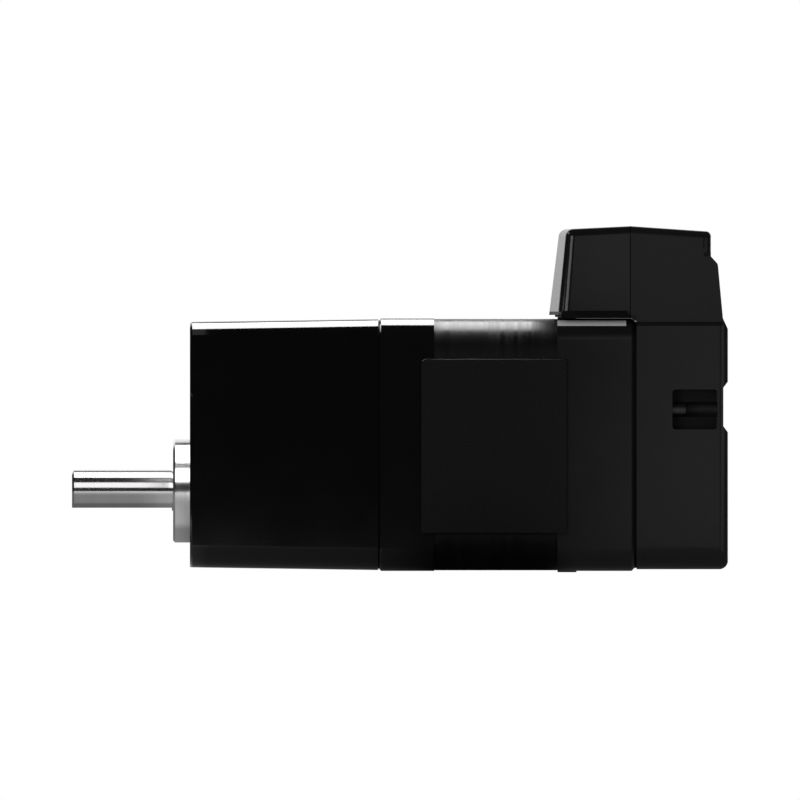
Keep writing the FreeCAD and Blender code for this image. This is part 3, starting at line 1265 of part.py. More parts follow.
save_bearing("rotor_rear_bearing", MOTOR_REAR_JOURNAL, REAR_BEARING_RADIUS, REAR_BEARING_WIDTH,
             REAR_BEARING_X)
save("motor_shaft", motor_shaft())
save("rotor_core_front", rotor_core(ROTOR_X, 0))
save("rotor_magnet", rotor_magnet())
save("rotor_core_rear", rotor_core(ROTOR_X + ROTOR_CORE + ROTOR_MAGNET, math.pi / ROTOR_TEETH))
save("stator_core", stator_core())
save("coil_insulator_front", coil_insulator(STATOR_X, -1))
save("coil_insulator_rear", coil_insulator(BRACKET_X, 1))
save("coils", coils())
save("rear_bracket", rear_bracket())
save("preload_washer", preload_washer())
save("through_bolts", through_bolts())
save("side_plate", side_plate())
save("encoder_hub", encoder_hub())
save("encoder_magnet", encoder_magnet())
save("encoder_board", encoder_board())
save("encoder_chips", encoder_chips())
save("board_screws", board_screws())
save("rear_cover", rear_cover())
save("rear_cover_gasket", rear_cover_gasket())
save("rear_cover_screws", rear_cover_screws())
save("terminal_hood", terminal_hood())
save("terminal_gasket", terminal_gasket())
save("connector_insert", connector_insert())
save("connector_pins", connector_pins())
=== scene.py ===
import json
import math

import bpy
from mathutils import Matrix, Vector


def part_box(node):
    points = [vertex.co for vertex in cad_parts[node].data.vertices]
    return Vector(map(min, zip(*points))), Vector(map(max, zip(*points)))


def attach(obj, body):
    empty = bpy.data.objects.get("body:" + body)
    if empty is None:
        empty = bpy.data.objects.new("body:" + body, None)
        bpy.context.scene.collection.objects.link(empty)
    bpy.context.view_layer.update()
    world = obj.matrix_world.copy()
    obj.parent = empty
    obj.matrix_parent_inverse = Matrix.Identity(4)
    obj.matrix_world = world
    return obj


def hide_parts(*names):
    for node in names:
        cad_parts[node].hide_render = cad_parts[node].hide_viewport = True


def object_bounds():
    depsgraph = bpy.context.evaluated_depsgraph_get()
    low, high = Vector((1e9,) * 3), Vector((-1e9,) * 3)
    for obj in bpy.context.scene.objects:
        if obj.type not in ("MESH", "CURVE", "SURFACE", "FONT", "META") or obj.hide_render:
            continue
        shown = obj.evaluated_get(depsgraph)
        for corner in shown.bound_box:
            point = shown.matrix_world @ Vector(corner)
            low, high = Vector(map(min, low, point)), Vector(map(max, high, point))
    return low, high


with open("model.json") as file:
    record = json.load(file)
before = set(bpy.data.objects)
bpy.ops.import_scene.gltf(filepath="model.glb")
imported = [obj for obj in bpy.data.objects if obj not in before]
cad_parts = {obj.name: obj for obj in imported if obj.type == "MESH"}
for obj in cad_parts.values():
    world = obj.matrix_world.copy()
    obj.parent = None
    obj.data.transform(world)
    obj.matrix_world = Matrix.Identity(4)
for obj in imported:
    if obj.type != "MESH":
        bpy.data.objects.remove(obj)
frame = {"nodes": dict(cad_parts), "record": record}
cad_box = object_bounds()
nodes = frame["nodes"]

MM = 0.001
QUARTER_TURN = math.pi / 2
SMOOTH_ANGLE = math.radians(35)

# Heights of the axes, in millimetres
OUTPUT_AXIS_Z = 0.0
MOTOR_AXIS_Z = 11.0
SCREW_AXIS_Z = 19.35
PIN_AXIS_Z = 52.2

# Where a finish changes on its piece, in millimetres: painted shade in the screw pockets and
# along the hood's foot, a painted highlight on the bracket's top edges and a rougher rim on the
# plate
POCKET_X = (114.2, 125.1)
POCKET_HALF_HEIGHT = 4.8
POCKET_FLOOR_Y = 26.5
POCKET_MOUTH_Y = 29.3
SCREW_BAND = 1.65
HOOD_FOOT_Z = 42.6
HIGHLIGHT_EDGE_X = (87.3, 103.6)
HIGHLIGHT_EDGE_Z = (39.2, 40.5)
HIGHLIGHT_EDGE_Y = 26.0
PLATE_RIM_Z = 31.13

# Painted shade and added roughness of plastic: darkest on the pocket walls and along the hood's
# foot, a flat dark shade behind a screw
PAINTED_SHADE = (0.0003, 0.6)
SHADE_BEHIND_SCREW = (0.004, 0.3)

# Cover screws
HEAD_RADIUS = 1.7 * MM
HEAD_LENGTH = 3.4 * MM
HEAD_ROUND = 0.55 * MM
RECESS_REACH = 1.9 * MM
RECESS_WIDTH = 0.5 * MM
RECESS_CUT = 1.6 * MM
SHANK_RADIUS = 1.0 * MM
SHANK_ROUND = 0.2 * MM

# Contact pins
PIN_RADIUS = 0.5 * MM
PIN_ROUND = 0.32 * MM
PIN_PITCH = 4.0 * MM
PIN_ROWS = 2
PIN_COLUMNS = 6

# Seals along the hood's foot
SEAL_X = (88.2 * MM, 103.9 * MM)
SEAL_Z = (41.05 * MM, 42.8 * MM)
SEAL_Y = 28.48 * MM
SEAL_WIDTH = 0.4 * MM
SEAL_ROUND = 0.12 * MM

# Threads of the mounting holes
MOUNT_HALF_PITCH = 24.75 * MM
THREAD_START = 0.9 * MM
THREAD_RADIUS = 2.09 * MM
THREAD_TOOTH = 0.16 * MM
THREAD_PITCH = 0.8 * MM
THREAD_TURNS = 10
THREAD_STEPS = 28

# Floor, and the painted glow it shows in the gloss as (millimetres along X or Y, shade)
FLOOR_X = 0.05
FLOOR_GAP = 0.2 * MM
FLOOR_SIZE = (1.4, 1.2, 1.0)
FLOOR_GLOW = 3.0
ALONG_SCALE, ALONG_SHIFT = 0.006, 0.2
FLOOR_ALONG = [(-12.0, 0.33), (-4.0, 0.55), (4.0, 0.20), (42.0, 0.14), (58.0, 0.01), (84.0, 0.01),
               (92.0, 0.12)]
FORWARD_SCALE, FORWARD_SHIFT = -0.004, 0.0
FLOOR_FORWARD = [(-7.5, 0.18), (-12.5, 0.33), (-50.0, 0.33), (-200.0, 1.0)]

# Light on dull surfaces, and the camera
DULL_LIGHT = 0.9
VIEW_PLACE = (0.0499, -1.2, 0.0216)
VIEW_WIDTH = 0.190

# Sockets of the colour mix node
MIX_UNDER, MIX_OVER, MIX_RESULT = 6, 7, 2


class Wire:
    """An output socket of a finish that can stand in a sum."""

    def __init__(self, finish, socket):
        self.finish = finish
        self.socket = socket

    def sum(self, operation, first, second):
        return self.finish.node("ShaderNodeMath", {"operation": operation}, {0: first, 1: second})

    def __add__(self, other):
        return self.sum("ADD", self, other)

    def __sub__(self, other):
        return self.sum("SUBTRACT", self, other)

    def __rsub__(self, other):
        return self.sum("SUBTRACT", other, self)

    def __mul__(self, other):
        return self.sum("MULTIPLY", self, other)

    def __pow__(self, other):
        return self.sum("POWER", self, other)

    def __abs__(self):
        return self.sum("ABSOLUTE", self, 0.0)

    def __gt__(self, other):
        return self.sum("GREATER_THAN", self, other)

    def __lt__(self, other):
        return self.sum("LESS_THAN", self, other)

    def within(self, limits):
        low, high = limits
        return (self > low) * (self < high)

    __radd__ = __add__
    __rmul__ = __mul__


class Finish:
    """A tree of nodes that feeds one shader."""

    def __init__(self, owner):
        owner.use_nodes = True
        self.owner = owner
        self.tree = owner.node_tree

    def node(self, kind, settings=None, inputs=None, output=0):
        made = self.tree.nodes.new(kind)
        for name, value in (settings or {}).items():
            if name == "stops":
                self.set_stops(made.color_ramp, value)
            else:
                setattr(made, name, value)
        for name, value in (inputs or {}).items():
            self.feed(made.inputs[name], value)
        return Wire(self, made.outputs[output])

    def set_stops(self, ramp, stops):
        while len(ramp.elements) < len(stops):
            ramp.elements.new(1.0)
        for element, (position, shade) in zip(ramp.elements, stops):
            element.position = position
            element.color = (shade, shade, shade, 1.0)

    def feed(self, socket, value):
        if isinstance(value, Wire):
            self.tree.links.new(value.socket, socket)
        else:
            socket.default_value = value

    def split(self, vector):
        """The three parts of a vector."""
        made = self.node("ShaderNodeSeparateXYZ", inputs={0: vector}).socket.node
        return [Wire(self, output) for output in made.outputs]

    def ramp(self, factor, *stops):
        return self.node("ShaderNodeValToRGB", {"stops": stops}, {0: factor})


class Surface(Finish):
    """A finish for a piece, laid out in the motor's own millimetres."""

    def __init__(self, name, constants):
        super().__init__(bpy.data.materials.new(name))
        self.shader = self.tree.nodes["Principled BSDF"]
        place = self.node("ShaderNodeTexCoord", output="Object")
        self.place = self.node("ShaderNodeVectorMath", {"operation": "SCALE"},
                               {0: place, "Scale": 1.0 / MM})
        for socket, value in constants.items():
            self.feed(self.shader.inputs[socket], value)

    def parts(self):
        return self.split(self.place)

    def stretched(self, x, y, z):
        return self.node("ShaderNodeVectorMath", {"operation": "MULTIPLY"},
                         {0: self.place, 1: (x, y, z)})

    def round_axis(self, rise):
        """Distance along X and from an axis at that height."""
        x, y, z = self.parts()
        up = z - rise
        reach = (y * y + up * up) ** 0.5
        return self.node("ShaderNodeCombineXYZ", inputs={0: x, 1: reach})

    def noise(self, size, detail=2.0, roughness=0.5, place=None):
        return self.node("ShaderNodeTexNoise", inputs={
            "Vector": place or self.place, "Scale": 1.0 / size,
            "Detail": detail, "Roughness": roughness})

    def cells(self, size, feature="F1"):
        return self.node("ShaderNodeTexVoronoi", {"feature": feature},
                         {"Vector": self.place, "Scale": 1.0 / size})

    def shades_along(self, distance, scale, shift, stops):
        """Shades that change with a distance in millimetres."""
        placed = [(at * scale + shift, shade) for at, shade in stops]
        return self.ramp(distance * scale + shift, *placed)

    def between(self, factor, low, high):
        return factor * (high - low) + low

    def blend(self, factor, under, over):
        inputs = {0: factor, MIX_UNDER: under, MIX_OVER: over}
        return self.node("ShaderNodeMix", {"data_type": "RGBA"}, inputs, output=MIX_RESULT)

    def tint(self, factor, low, high):
        return self.blend(factor, low + (1.0,), high + (1.0,))

    def over(self, mask, under, shade):
        return self.blend(mask, under, (shade, shade, shade, 1.0))

    def bump(self, height, depth, under=None):
        inputs = {"Height": height, "Distance": depth * MM, "Strength": 1.0}
        if under:
            inputs["Normal"] = under
        return self.node("ShaderNodeBump", inputs=inputs)

    def show(self, colour, roughness, normal):
        self.feed(self.shader.inputs["Base Color"], colour)
        self.feed(self.shader.inputs["Roughness"], roughness)
        self.feed(self.shader.inputs["Normal"], normal)
        return self.owner


def screw_pocket(plastic):
    """Painted shade in the screw pockets with added roughness, darkest on their walls and flat
    behind the screw: mask, shade and roughness.
    """
    x, y, z = plastic.parts()
    aside = abs(z - SCREW_AXIS_Z)
    inside = x.within(POCKET_X) * (abs(y) < POCKET_MOUTH_Y)
    walls = inside * (abs(y) > POCKET_FLOOR_Y) * aside.within((SCREW_BAND, POCKET_HALF_HEIGHT))
    behind_screw = inside * (aside < SCREW_BAND)
    return [(walls, *PAINTED_SHADE), (behind_screw, *SHADE_BEHIND_SCREW)]


def hood_foot(plastic):
    """Painted shadow along the foot of the hood, with added roughness: mask, shade and roughness.
    """
    z = plastic.parts()[2]
    return [(z < HOOD_FOOT_Z, *PAINTED_SHADE)]


def bracket_edge_highlight(paint):
    """Mask of a pale painted highlight along the bracket's top edges."""
    x, y, z = paint.parts()
    return z.within(HIGHLIGHT_EDGE_Z) * x.within(HIGHLIGHT_EDGE_X) * (abs(y) > HIGHLIGHT_EDGE_Y)


def painted(name, dark, light, smooth, dull, peel, painted_highlight=None):
    """Black paint on a casting: soft orange peel, a little cloud in the gloss and fine dust, and
    where asked a pale painted highlight.
    """
    paint = Surface(name, {"Specular IOR Level": 0.5})
    cloud = paint.noise(size=9.0, detail=3.0)
    fine = paint.noise(size=0.9)
    dust = paint.ramp(paint.cells(size=1.7), (0.0, 1.0), (0.035, 0.0))
    colour = paint.tint(cloud * 0.6 + dust * 0.5, dark, light)
    roughness = paint.between(cloud, smooth, dull) + dust * 0.08
    # A pale painted highlight where the mask says
    if painted_highlight:
        colour = paint.over(painted_highlight(paint), colour, shade=0.30)
    return paint.show(colour, roughness, paint.bump(fine + cloud * 0.5, peel))


def anodised(name, dark, light, smooth, dull):
    """Matt black anodised sheet: fine rolled grain along its length and a rougher top rim."""
    sheet = Surface(name, {"Specular IOR Level": 0.32})
    rim = sheet.parts()[2] > PLATE_RIM_Z
    grain = sheet.noise(size=0.35, detail=3.0, place=sheet.stretched(0.12, 1.0, 1.0))
    cloud = sheet.noise(size=12.0)
    colour = sheet.tint(grain * 0.6 + cloud * 0.4, dark, light)
    roughness = sheet.between(grain, smooth, dull) + rim * 0.5
    return sheet.show(colour, roughness, sheet.bump(grain, depth=0.0003))


def moulded(name, dark, light, smooth, dull, grain, painted_shade_places=None):
    """Moulded plastic with a fine eroded grain and slight flow marks, and where asked painted
    shade with added roughness.
    """
    plastic = Surface(name, {"Specular IOR Level": 0.5})
    pits = plastic.cells(size=0.42)
    flow = plastic.noise(size=14.0, detail=3.0)
    fine = plastic.noise(size=0.25)
    colour = plastic.tint(flow * 0.7 + fine * 0.3, dark, light)
    roughness = plastic.between(flow * 0.5 + fine * 0.5, smooth, dull)
    # Painted shade where each mask says, with added roughness
    if painted_shade_places:
        for mask, shade, rougher in painted_shade_places(plastic):
            colour = plastic.over(mask, colour, shade)
            roughness = roughness + mask * rougher
    return plastic.show(colour, roughness, plastic.bump(pits + fine, grain))


def turned(name, dark, light, smooth, dull, rise, depth):
    """Bright metal from the lathe, with fine rings round its axis."""
    metal = Surface(name, {"Metallic": 1.0})
    around = metal.round_axis(rise)
    rings = metal.noise(size=0.18, detail=3.0, roughness=0.7, place=around)
    bands = metal.noise(size=1.6, place=around)
    colour = metal.tint(bands * 0.6 + rings * 0.4, dark, light)
    roughness = metal.between(rings * 0.5 + bands * 0.5, smooth, dull)
    return metal.show(colour, roughness, metal.bump(rings, depth))


def laminated(name, dark, light, smooth, dull):
    """Stack of stamped sheets: the edge of each sheet a little different from the next."""
    stack = Surface(name, {"Specular IOR Level": 0.25})
    sheets = stack.noise(size=0.5, roughness=0.8, place=stack.stretched(1.0, 0.004, 0.004))
    groups = stack.noise(size=3.2, detail=3.0, roughness=0.7,
                         place=stack.stretched(1.0, 0.02, 0.02))
    stain = stack.noise(size=2.5, detail=4.0, roughness=0.6,
                        place=stack.stretched(1.0, 0.25, 0.25))
    colour = stack.tint(sheets * 0.4 + stain * 0.6, dark, light)
    streaks = stack.ramp(sheets * 0.5 + groups * 0.5, (0.40, 0.0), (0.60, 1.0))
    roughness = stack.between(streaks, smooth, dull)
    stained = stack.bump(stain, depth=0.03)
    return stack.show(colour, roughness, stack.bump(sheets, depth=0.05, under=stained))


def sintered(name, dark, light, smooth, dull, metallic, size):
    """Pressed and sintered metal with open pores."""
    metal = Surface(name, {"Metallic": metallic})
    pores = metal.cells(size)
    cloud = metal.noise(size * 8.0, detail=3.0)
    colour = metal.tint(cloud * 0.7 + pores * 0.3, dark, light)
    roughness = metal.between(pores, smooth, dull)
    return metal.show(colour, roughness, metal.bump(pores, depth=0.03))


def rubber(name, dark, light):
    """Dull moulded rubber."""
    skin = Surface(name, {"Specular IOR Level": 0.12})
    fine = skin.noise(size=0.3, detail=3.0)
    cloud = skin.noise(size=5.0)
    roughness = skin.between(fine, 0.55, 0.8)
    return skin.show(skin.tint(cloud, dark, light), roughness, skin.bump(fine, depth=0.02))


def wound(name, dark, light):
    """Enamelled wire in close layers."""
    wire = Surface(name, {"Metallic": 0.9, "Coat Weight": 0.3})
    rows = wire.node("ShaderNodeTexWave", {"wave_type": "BANDS", "bands_direction": "X"},
                     {"Vector": wire.place, "Scale": 0.55, "Distortion": 0.6, "Detail": 1.0})
    cloud = wire.noise(size=4.0)
    colour = wire.tint(rows * 0.5 + cloud * 0.5, dark, light)
    return wire.show(colour, wire.between(cloud, 0.25, 0.4), wire.bump(rows, depth=0.12))


def soldered_board(name, dark, light):
    """Circuit board under green mask, with faint traces."""
    board = Surface(name, {"Coat Weight": 0.4})
    traces = board.ramp(board.cells(3.0, "DISTANCE_TO_EDGE"), (0.02, 1.0), (0.06, 0.0))
    weave = board.noise(size=0.4)
    colour = board.tint(traces * 0.7 + weave * 0.2, dark, light)
    return board.show(colour, board.between(weave, 0.3, 0.45), board.bump(traces, depth=0.03))


FINISHES = {
    "case_black": painted(
        "black_case_paint", (0.0010, 0.0010, 0.0011), (0.0022, 0.0022, 0.0023),
        smooth=0.06, dull=0.09, peel=0.001),
    "flange_black": painted(
        "black_flange_paint", (0.0016, 0.0016, 0.0017), (0.0030, 0.0030, 0.0031),
        smooth=0.07, dull=0.10, peel=0.001),
    "plate_black": anodised(
        "black_plate", (0.0027, 0.0027, 0.0028), (0.0031, 0.0031, 0.0032),
        smooth=0.27, dull=0.28),
    "moulding_black": moulded(
        "black_cover", (0.0034, 0.0034, 0.0035), (0.0054, 0.0054, 0.0055),
        smooth=0.20, dull=0.27, grain=0.0015, painted_shade_places=screw_pocket),
    "lamination_steel": laminated(
        "oiled_laminations", (0.0005, 0.0005, 0.0005), (0.0022, 0.0021, 0.0020),
        smooth=0.28, dull=0.46),
    "rotor_steel": turned(
        "rotor_stack", (0.38, 0.37, 0.36), (0.52, 0.51, 0.50),
        smooth=0.28, dull=0.40, rise=MOTOR_AXIS_Z, depth=0.02),
    "ground_steel": turned(
        "ground_shaft", (0.52, 0.51, 0.51), (0.64, 0.63, 0.63),
        smooth=0.10, dull=0.16, rise=OUTPUT_AXIS_Z, depth=0.003),
    "gear_steel": turned(
        "hobbed_gear", (0.42, 0.41, 0.40), (0.56, 0.55, 0.54),
        smooth=0.24, dull=0.36, rise=OUTPUT_AXIS_Z, depth=0.01),
    "machined_aluminium": turned(
        "turned_pilot", (0.66, 0.66, 0.66), (0.78, 0.78, 0.78),
        smooth=0.13, dull=0.20, rise=OUTPUT_AXIS_Z, depth=0.012),
    "bearing_steel": turned(
        "bearing_rings", (0.55, 0.55, 0.55), (0.68, 0.68, 0.68),
        smooth=0.12, dull=0.20, rise=MOTOR_AXIS_Z, depth=0.004),
    "bush_bronze": sintered(
        "sintered_bush", (0.42, 0.26, 0.12), (0.60, 0.40, 0.20),
        smooth=0.35, dull=0.5, metallic=1.0, size=0.4),
    "seal_rubber": rubber(
        "black_seal", (0.012, 0.012, 0.012), (0.022, 0.022, 0.022)),
    "gasket_rubber": rubber(
        "black_gasket", (0.0008, 0.0008, 0.0008), (0.0016, 0.0016, 0.0016)),
    "screw_steel": turned(
        "blackened_screw", (0.08, 0.08, 0.08), (0.12, 0.12, 0.12),
        smooth=0.34, dull=0.42, rise=SCREW_AXIS_Z, depth=0.004),
    "coil_copper": wound(
        "enamelled_wire", (0.40, 0.13, 0.04), (0.62, 0.24, 0.09)),
    "insulator_white": moulded(
        "pale_insulator", (0.62, 0.60, 0.54), (0.74, 0.72, 0.66),
        smooth=0.35, dull=0.5, grain=0.012),
    "magnet_grey": sintered(
        "magnet", (0.22, 0.22, 0.23), (0.34, 0.34, 0.35),
        smooth=0.4, dull=0.6, metallic=0.8, size=0.5),
    "board_green": soldered_board(
        "board_mask", (0.006, 0.055, 0.02), (0.03, 0.16, 0.06)),
    "chip_black": moulded(
        "chip_body", (0.012, 0.012, 0.012), (0.022, 0.022, 0.022),
        smooth=0.4, dull=0.55, grain=0.01),
    "insert_black": moulded(
        "connector_body", (0.012, 0.012, 0.0122), (0.018, 0.018, 0.0182),
        smooth=0.35, dull=0.48, grain=0.004),
    "pin_brass": turned(
        "plated_pin", (0.62, 0.42, 0.14), (0.80, 0.60, 0.26),
        smooth=0.18, dull=0.28, rise=PIN_AXIS_Z, depth=0.003),
}
# The bracket's paint with a pale painted highlight along its top edges
BRACKET_FINISH = painted(
    "black_bracket_paint", (0.0030, 0.0030, 0.0031), (0.0050, 0.0050, 0.0051),
    smooth=0.20, dull=0.24, peel=0.001, painted_highlight=bracket_edge_highlight)
# The hood's plastic with a painted shadow along its foot
HOOD_FINISH = moulded(
    "black_hood", (0.0030, 0.0030, 0.0031), (0.0048, 0.0048, 0.0049),
    smooth=0.14, dull=0.18, grain=0.0010, painted_shade_places=hood_foot)


def dress_nodes():
    """Every solid takes the finish of its slot; the bracket and the hood have their own."""
    for part in frame["record"]["subparts"]:
        solid = nodes[part["node"]]
        solid.material_slots[0].material = FINISHES[part["material_slot"]]
    nodes["rear_bracket"].material_slots[0].material = BRACKET_FINISH
    nodes["terminal_hood"].material_slots[0].material = HOOD_FINISH


def apply_place():
    """Put the selected piece's place, turn and scale in its mesh."""
    bpy.ops.object.transform_apply(location=True, rotation=True, scale=True)


def start(add, scale=(1.0, 1.0, 1.0), **where):
    """A new primitive, alone in the selection, scaled and left at the origin."""
    bpy.ops.object.select_all(action="DESELECT")
    add(**where)
    piece = bpy.context.object
    piece.scale = scale
    apply_place()
    return piece


def rod(front, end, radius, y, z, vertices):
    """A round bar along X."""
    return start(bpy.ops.mesh.primitive_cylinder_add, vertices=vertices, radius=radius,
                 depth=end - front, location=((front + end) / 2, y, z),
                 rotation=(0.0, QUARTER_TURN, 0.0))


def choose(piece, wanted):
    """Open a piece for editing with the wanted faces selected."""
    bpy.ops.object.mode_set(mode="EDIT")
    bpy.ops.mesh.select_mode(type="FACE")
    bpy.ops.mesh.select_all(action="DESELECT")
    bpy.ops.object.mode_set(mode="OBJECT")
    for face in piece.data.polygons:
        face.select = wanted(face)
    bpy.ops.object.mode_set(mode="EDIT")


def every_face(face):
    return True


def round_edges(piece, wanted, offset, segments):
    """Round the edges of the wanted faces."""
    choose(piece, wanted)
    bpy.ops.mesh.bevel(offset=offset, segments=segments, affect="EDGES")
    bpy.ops.object.mode_set(mode="OBJECT")


def smooth():
    """Smooth shading, with the sharper edges kept."""
    bpy.ops.object.shade_smooth_by_angle(angle=SMOOTH_ANGLE)


def apply_modifier(piece, kind, **settings):
    modifier = piece.modifiers.new(kind.lower(), kind)
    for name, value in settings.items():
        setattr(modifier, name, value)
    bpy.ops.object.modifier_apply(modifier=modifier.name)


def copy_to(piece, offset):
    """A copy with its own mesh, moved aside."""
    other = piece.copy()
    other.data = piece.data.copy()
    bpy.context.collection.objects.link(other)
    other.location = offset
    bpy.ops.object.select_all(action="DESELECT")
    other.select_set(True)
    bpy.context.view_layer.objects.active = other
    apply_place()
    return other


def join(pieces, name):
    bpy.ops.object.select_all(action="DESELECT")
    for piece in pieces:
        piece.select_set(True)
    bpy.context.view_layer.objects.active = pieces[0]
    bpy.ops.object.join()
    made = bpy.context.object
    made.name = name
    return made


def settle(piece, slot, *stands_for):
    """Give a finished piece its finish, and let it ride on the housing."""
    piece.data.materials.clear()
    piece.data.materials.append(FINISHES[slot])
    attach(piece, "housing")
    if stands_for:
        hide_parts(*stands_for)


def cross_recess(place):
    """Two crossed cutters for the recess in a screw head."""
    return [start(bpy.ops.mesh.primitive_cube_add, size=1.0, location=place, scale=scale)
            for scale in ((RECESS_CUT, RECESS_REACH, RECESS_WIDTH),
                          (RECESS_CUT, RECESS_WIDTH, RECESS_REACH))]


def cover_screws():
    """Cylinder-head screws in the side pockets, with rounded rims and a cross recess."""
    low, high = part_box("rear_cover_screws")
    seat = high.x - HEAD_LENGTH
    y = low.y + HEAD_RADIUS
    z = (low.z + high.z) / 2
    head = rod(seat, high.x, HEAD_RADIUS, y, z, vertices=64)
    round_edges(head, lambda face: face.normal.x > 0.9, HEAD_ROUND, segments=6)
    for cutter in cross_recess((high.x, y, z)):
        bpy.context.view_layer.objects.active = head
        apply_modifier(head, "BOOLEAN", operation="DIFFERENCE", object=cutter, solver="EXACT")
        bpy.data.objects.remove(cutter)
    shank = rod(low.x, seat, SHANK_RADIUS, y, z, vertices=32)
    round_edges(shank, lambda face: face.normal.x < -0.9, SHANK_ROUND, segments=2)
    near = join([head, shank], "cover_screw_pair")
    smooth()
    far = copy_to(near, (0.0, -2 * y, 0.0))
    settle(join([near, far], "cover_screw_pair"), "screw_steel", "rear_cover_screws")


def contact_pins():
    """Two rows of contact pins with rounded tips."""
    low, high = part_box("connector_pins")
    first = rod(low.x, high.x, PIN_RADIUS, low.y + PIN_RADIUS, low.z + PIN_RADIUS, vertices=32)
    round_edges(first, lambda face: abs(face.normal.x) > 0.9, PIN_ROUND, segments=5)
    smooth()
    pins = [first]
    for row in range(PIN_ROWS):
        for column in range(PIN_COLUMNS):
            if row or column:
                pins.append(copy_to(first, (0.0, column * PIN_PITCH, row * PIN_PITCH)))
    settle(join(pins, "contact_pin_rows"), "pin_brass", "connector_pins")


def hood_foot_seal():
    """Rubber seals along both sides of the hood, where its foot meets the bracket."""
    front, rear = SEAL_X
    foot, top = SEAL_Z
    near = start(bpy.ops.mesh.primitive_cube_add, size=1.0,
                 location=((front + rear) / 2, -SEAL_Y, (foot + top) / 2),
                 scale=(rear - front, SEAL_WIDTH, top - foot))
    round_edges(near, every_face, SEAL_ROUND, segments=3)
    smooth()
    far = copy_to(near, (0.0, 2 * SEAL_Y, 0.0))
    settle(join([near, far], "hood_foot_seal"), "gasket_rubber")


def mount_threads():
    """Threads in the four tapped holes of the mounting face."""
    tooth = (THREAD_START, 0.0, THREAD_RADIUS)
    first = start(bpy.ops.mesh.primitive_circle_add, vertices=3, radius=THREAD_TOOTH,
                  location=tooth)
    bpy.ops.object.mode_set(mode="EDIT")
    bpy.ops.mesh.select_all(action="SELECT")
    bpy.ops.transform.rotate(value=QUARTER_TURN, orient_axis="X", center_override=tooth)
    bpy.ops.object.mode_set(mode="OBJECT")
    apply_modifier(first, "SCREW", axis="X", angle=2 * math.pi, screw_offset=THREAD_PITCH,
                   iterations=THREAD_TURNS, steps=THREAD_STEPS, render_steps=THREAD_STEPS,
                   use_merge_vertices=True, merge_threshold=0.001 * MM)
    choose(first, every_face)
    bpy.ops.mesh.normals_make_consistent(inside=False)
    bpy.ops.object.mode_set(mode="OBJECT")
    smooth()
    sides = (-MOUNT_HALF_PITCH, MOUNT_HALF_PITCH)
    threads = [copy_to(first, (0.0, y, MOTOR_AXIS_Z * MM + z)) for y in sides for z in sides]
    bpy.data.objects.remove(first)
    settle(join(threads, "mount_hole_threads"), "machined_aluminium")


def softbox(name, place, aim, width, height, power, card=True, fan=180.0):
    """Rectangular lamp that faces the object; a card only shows in its gloss."""
    lamp = bpy.data.lights.new(name, "AREA")
    lamp.shape = "RECTANGLE"
    lamp.size = width
    lamp.size_y = height
    lamp.energy = power
    lamp.spread = math.radians(fan)
    holder = bpy.data.objects.new(name, lamp)
    holder.location = place
    turn = (Vector(aim) - Vector(place)).to_track_quat("-Z", "Y")
    holder.rotation_euler = turn.to_euler()
    holder.visible_camera = False
    holder.visible_diffuse = not card
    bpy.context.collection.objects.link(holder)


def studio_lamps():
    """Soft lamps and cards, each for one band of light on the motor."""
    softbox("front_left_softbox", (-0.047, -0.0763, 0.0477), (-0.047, 0.0, 0.0),
            width=0.082, height=0.045, power=0.0185)
    softbox("boss_band_card", (-0.0025, -0.0315, 0.0186), (-0.0025, 0.0, 0.0),
            width=0.0045, height=0.0181, power=0.00064)
    softbox("right_card", (0.327, -0.23, 0.03), (0.127, -0.03, 0.03),
            width=0.20, height=0.15, power=0.030)
    softbox("left_strip_lamp", (-0.50, -0.86, 0.12), (0.05, 0.0, 0.03),
            width=0.45, height=0.40, power=1.3, card=False)
    softbox("shaft_top_lamp", (-0.0175, 0.028, 0.138), (-0.0175, 0.028, 0.0),
            width=0.035, height=0.114, power=0.036)
    softbox("edge_strip_lamp", (0.0405, -0.02195, 0.051), (0.0405, -0.02195, 0.0),
            width=0.0830, height=0.0139, power=0.0390, fan=140.0)
    softbox("boss_card", (-0.004, -0.045, 0.085), (-0.004, 0.0, 0.0),
            width=0.012, height=0.040, power=0.0007)
    softbox("front_card", (0.124, -0.25, 0.065), (0.124, 0.0, 0.065),
            width=0.036, height=0.19, power=0.0066)
    softbox("hood_card", (0.098, -0.25, 0.090), (0.098, 0.0, 0.090),
            width=0.026, height=0.038, power=0.00125)


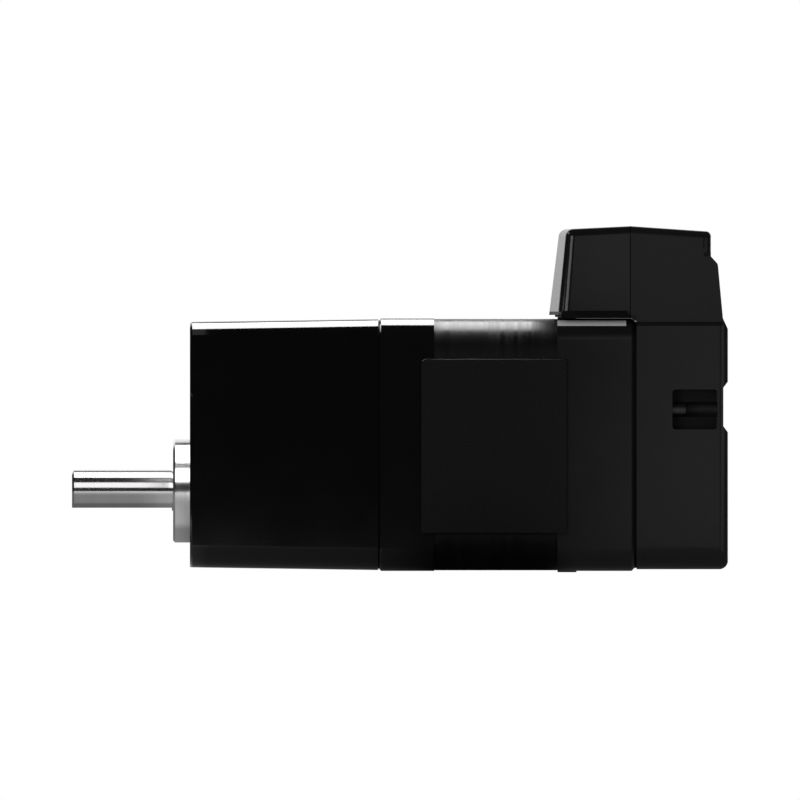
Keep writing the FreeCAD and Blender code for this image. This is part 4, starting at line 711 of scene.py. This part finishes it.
def studio_air():
    """White to the camera, even light on dull surfaces, and in the gloss a dark room with a
    white wall behind the object."""
    world = bpy.data.worlds.new("studio")
    bpy.context.scene.world = world
    air = Finish(world)
    back = air.split(air.node("ShaderNodeTexCoord", output="Generated"))[1]
    wall = air.ramp(back, (0.70, 0.02), (0.80, 1.0))
    seen = air.node("ShaderNodeLightPath", output="Is Camera Ray")
    glossy = air.node("ShaderNodeLightPath", output="Is Glossy Ray")
    lit = glossy * wall + (1.0 - glossy) * DULL_LIGHT
    shade = air.node("ShaderNodeMath", {"operation": "MAXIMUM"}, {0: lit, 1: seen})
    background = air.tree.nodes["Background"]
    air.feed(background.inputs["Color"], shade)
    air.feed(background.inputs["Strength"], 1.0)


def pale_floor():
    """Pale table top under the object; in the gloss it shows a painted glow, brightest at the
    shaft's end and dark under the stator.
    """
    table = start(bpy.ops.mesh.primitive_plane_add, size=1.0,
                  location=(FLOOR_X, 0.0, cad_box[0].z - FLOOR_GAP), scale=FLOOR_SIZE)
    table.name = "floor"
    pale = Surface("pale_table", {"Specular IOR Level": 0.2})
    cloud = pale.noise(size=60.0)
    colour = pale.tint(cloud, (0.80, 0.80, 0.80), (0.84, 0.84, 0.84))
    pale.show(colour, pale.between(cloud, 0.6, 0.7), pale.bump(cloud, depth=0.05))
    x, y = pale.parts()[:2]
    along = pale.shades_along(x, ALONG_SCALE, ALONG_SHIFT, FLOOR_ALONG)
    forward = pale.shades_along(y, FORWARD_SCALE, FORWARD_SHIFT, FLOOR_FORWARD)
    # A painted glow, seen only in the gloss, in place of the floor's own reflection
    glow = pale.node("ShaderNodeEmission",
                     inputs={"Color": along * forward * FLOOR_GLOW, "Strength": 1.0})
    glossy = pale.node("ShaderNodeLightPath", output="Is Glossy Ray")
    top = Wire(pale, pale.shader.outputs[0])
    mixed = pale.node("ShaderNodeMixShader", inputs={0: glossy, 1: top, 2: glow})
    pale.feed(pale.tree.nodes["Material Output"].inputs["Surface"], mixed)
    table.data.materials.append(pale.owner)


def studio_camera():
    """Long view, level and square to the side of the motor."""
    lens = bpy.data.cameras.new("camera")
    lens.type = "ORTHO"
    lens.ortho_scale = VIEW_WIDTH
    lens.clip_start = 0.01
    lens.clip_end = 20.0
    camera = bpy.data.objects.new("camera", lens)
    camera.location = VIEW_PLACE
    camera.rotation_euler = (QUARTER_TURN, 0.0, 0.0)
    bpy.context.collection.objects.link(camera)
    bpy.context.scene.camera = camera


studio_camera()
studio_air()
pale_floor()
studio_lamps()
dress_nodes()
cover_screws()
contact_pins()
hood_foot_seal()
mount_threads()
bpy.context.scene.view_settings.view_transform = "Standard"
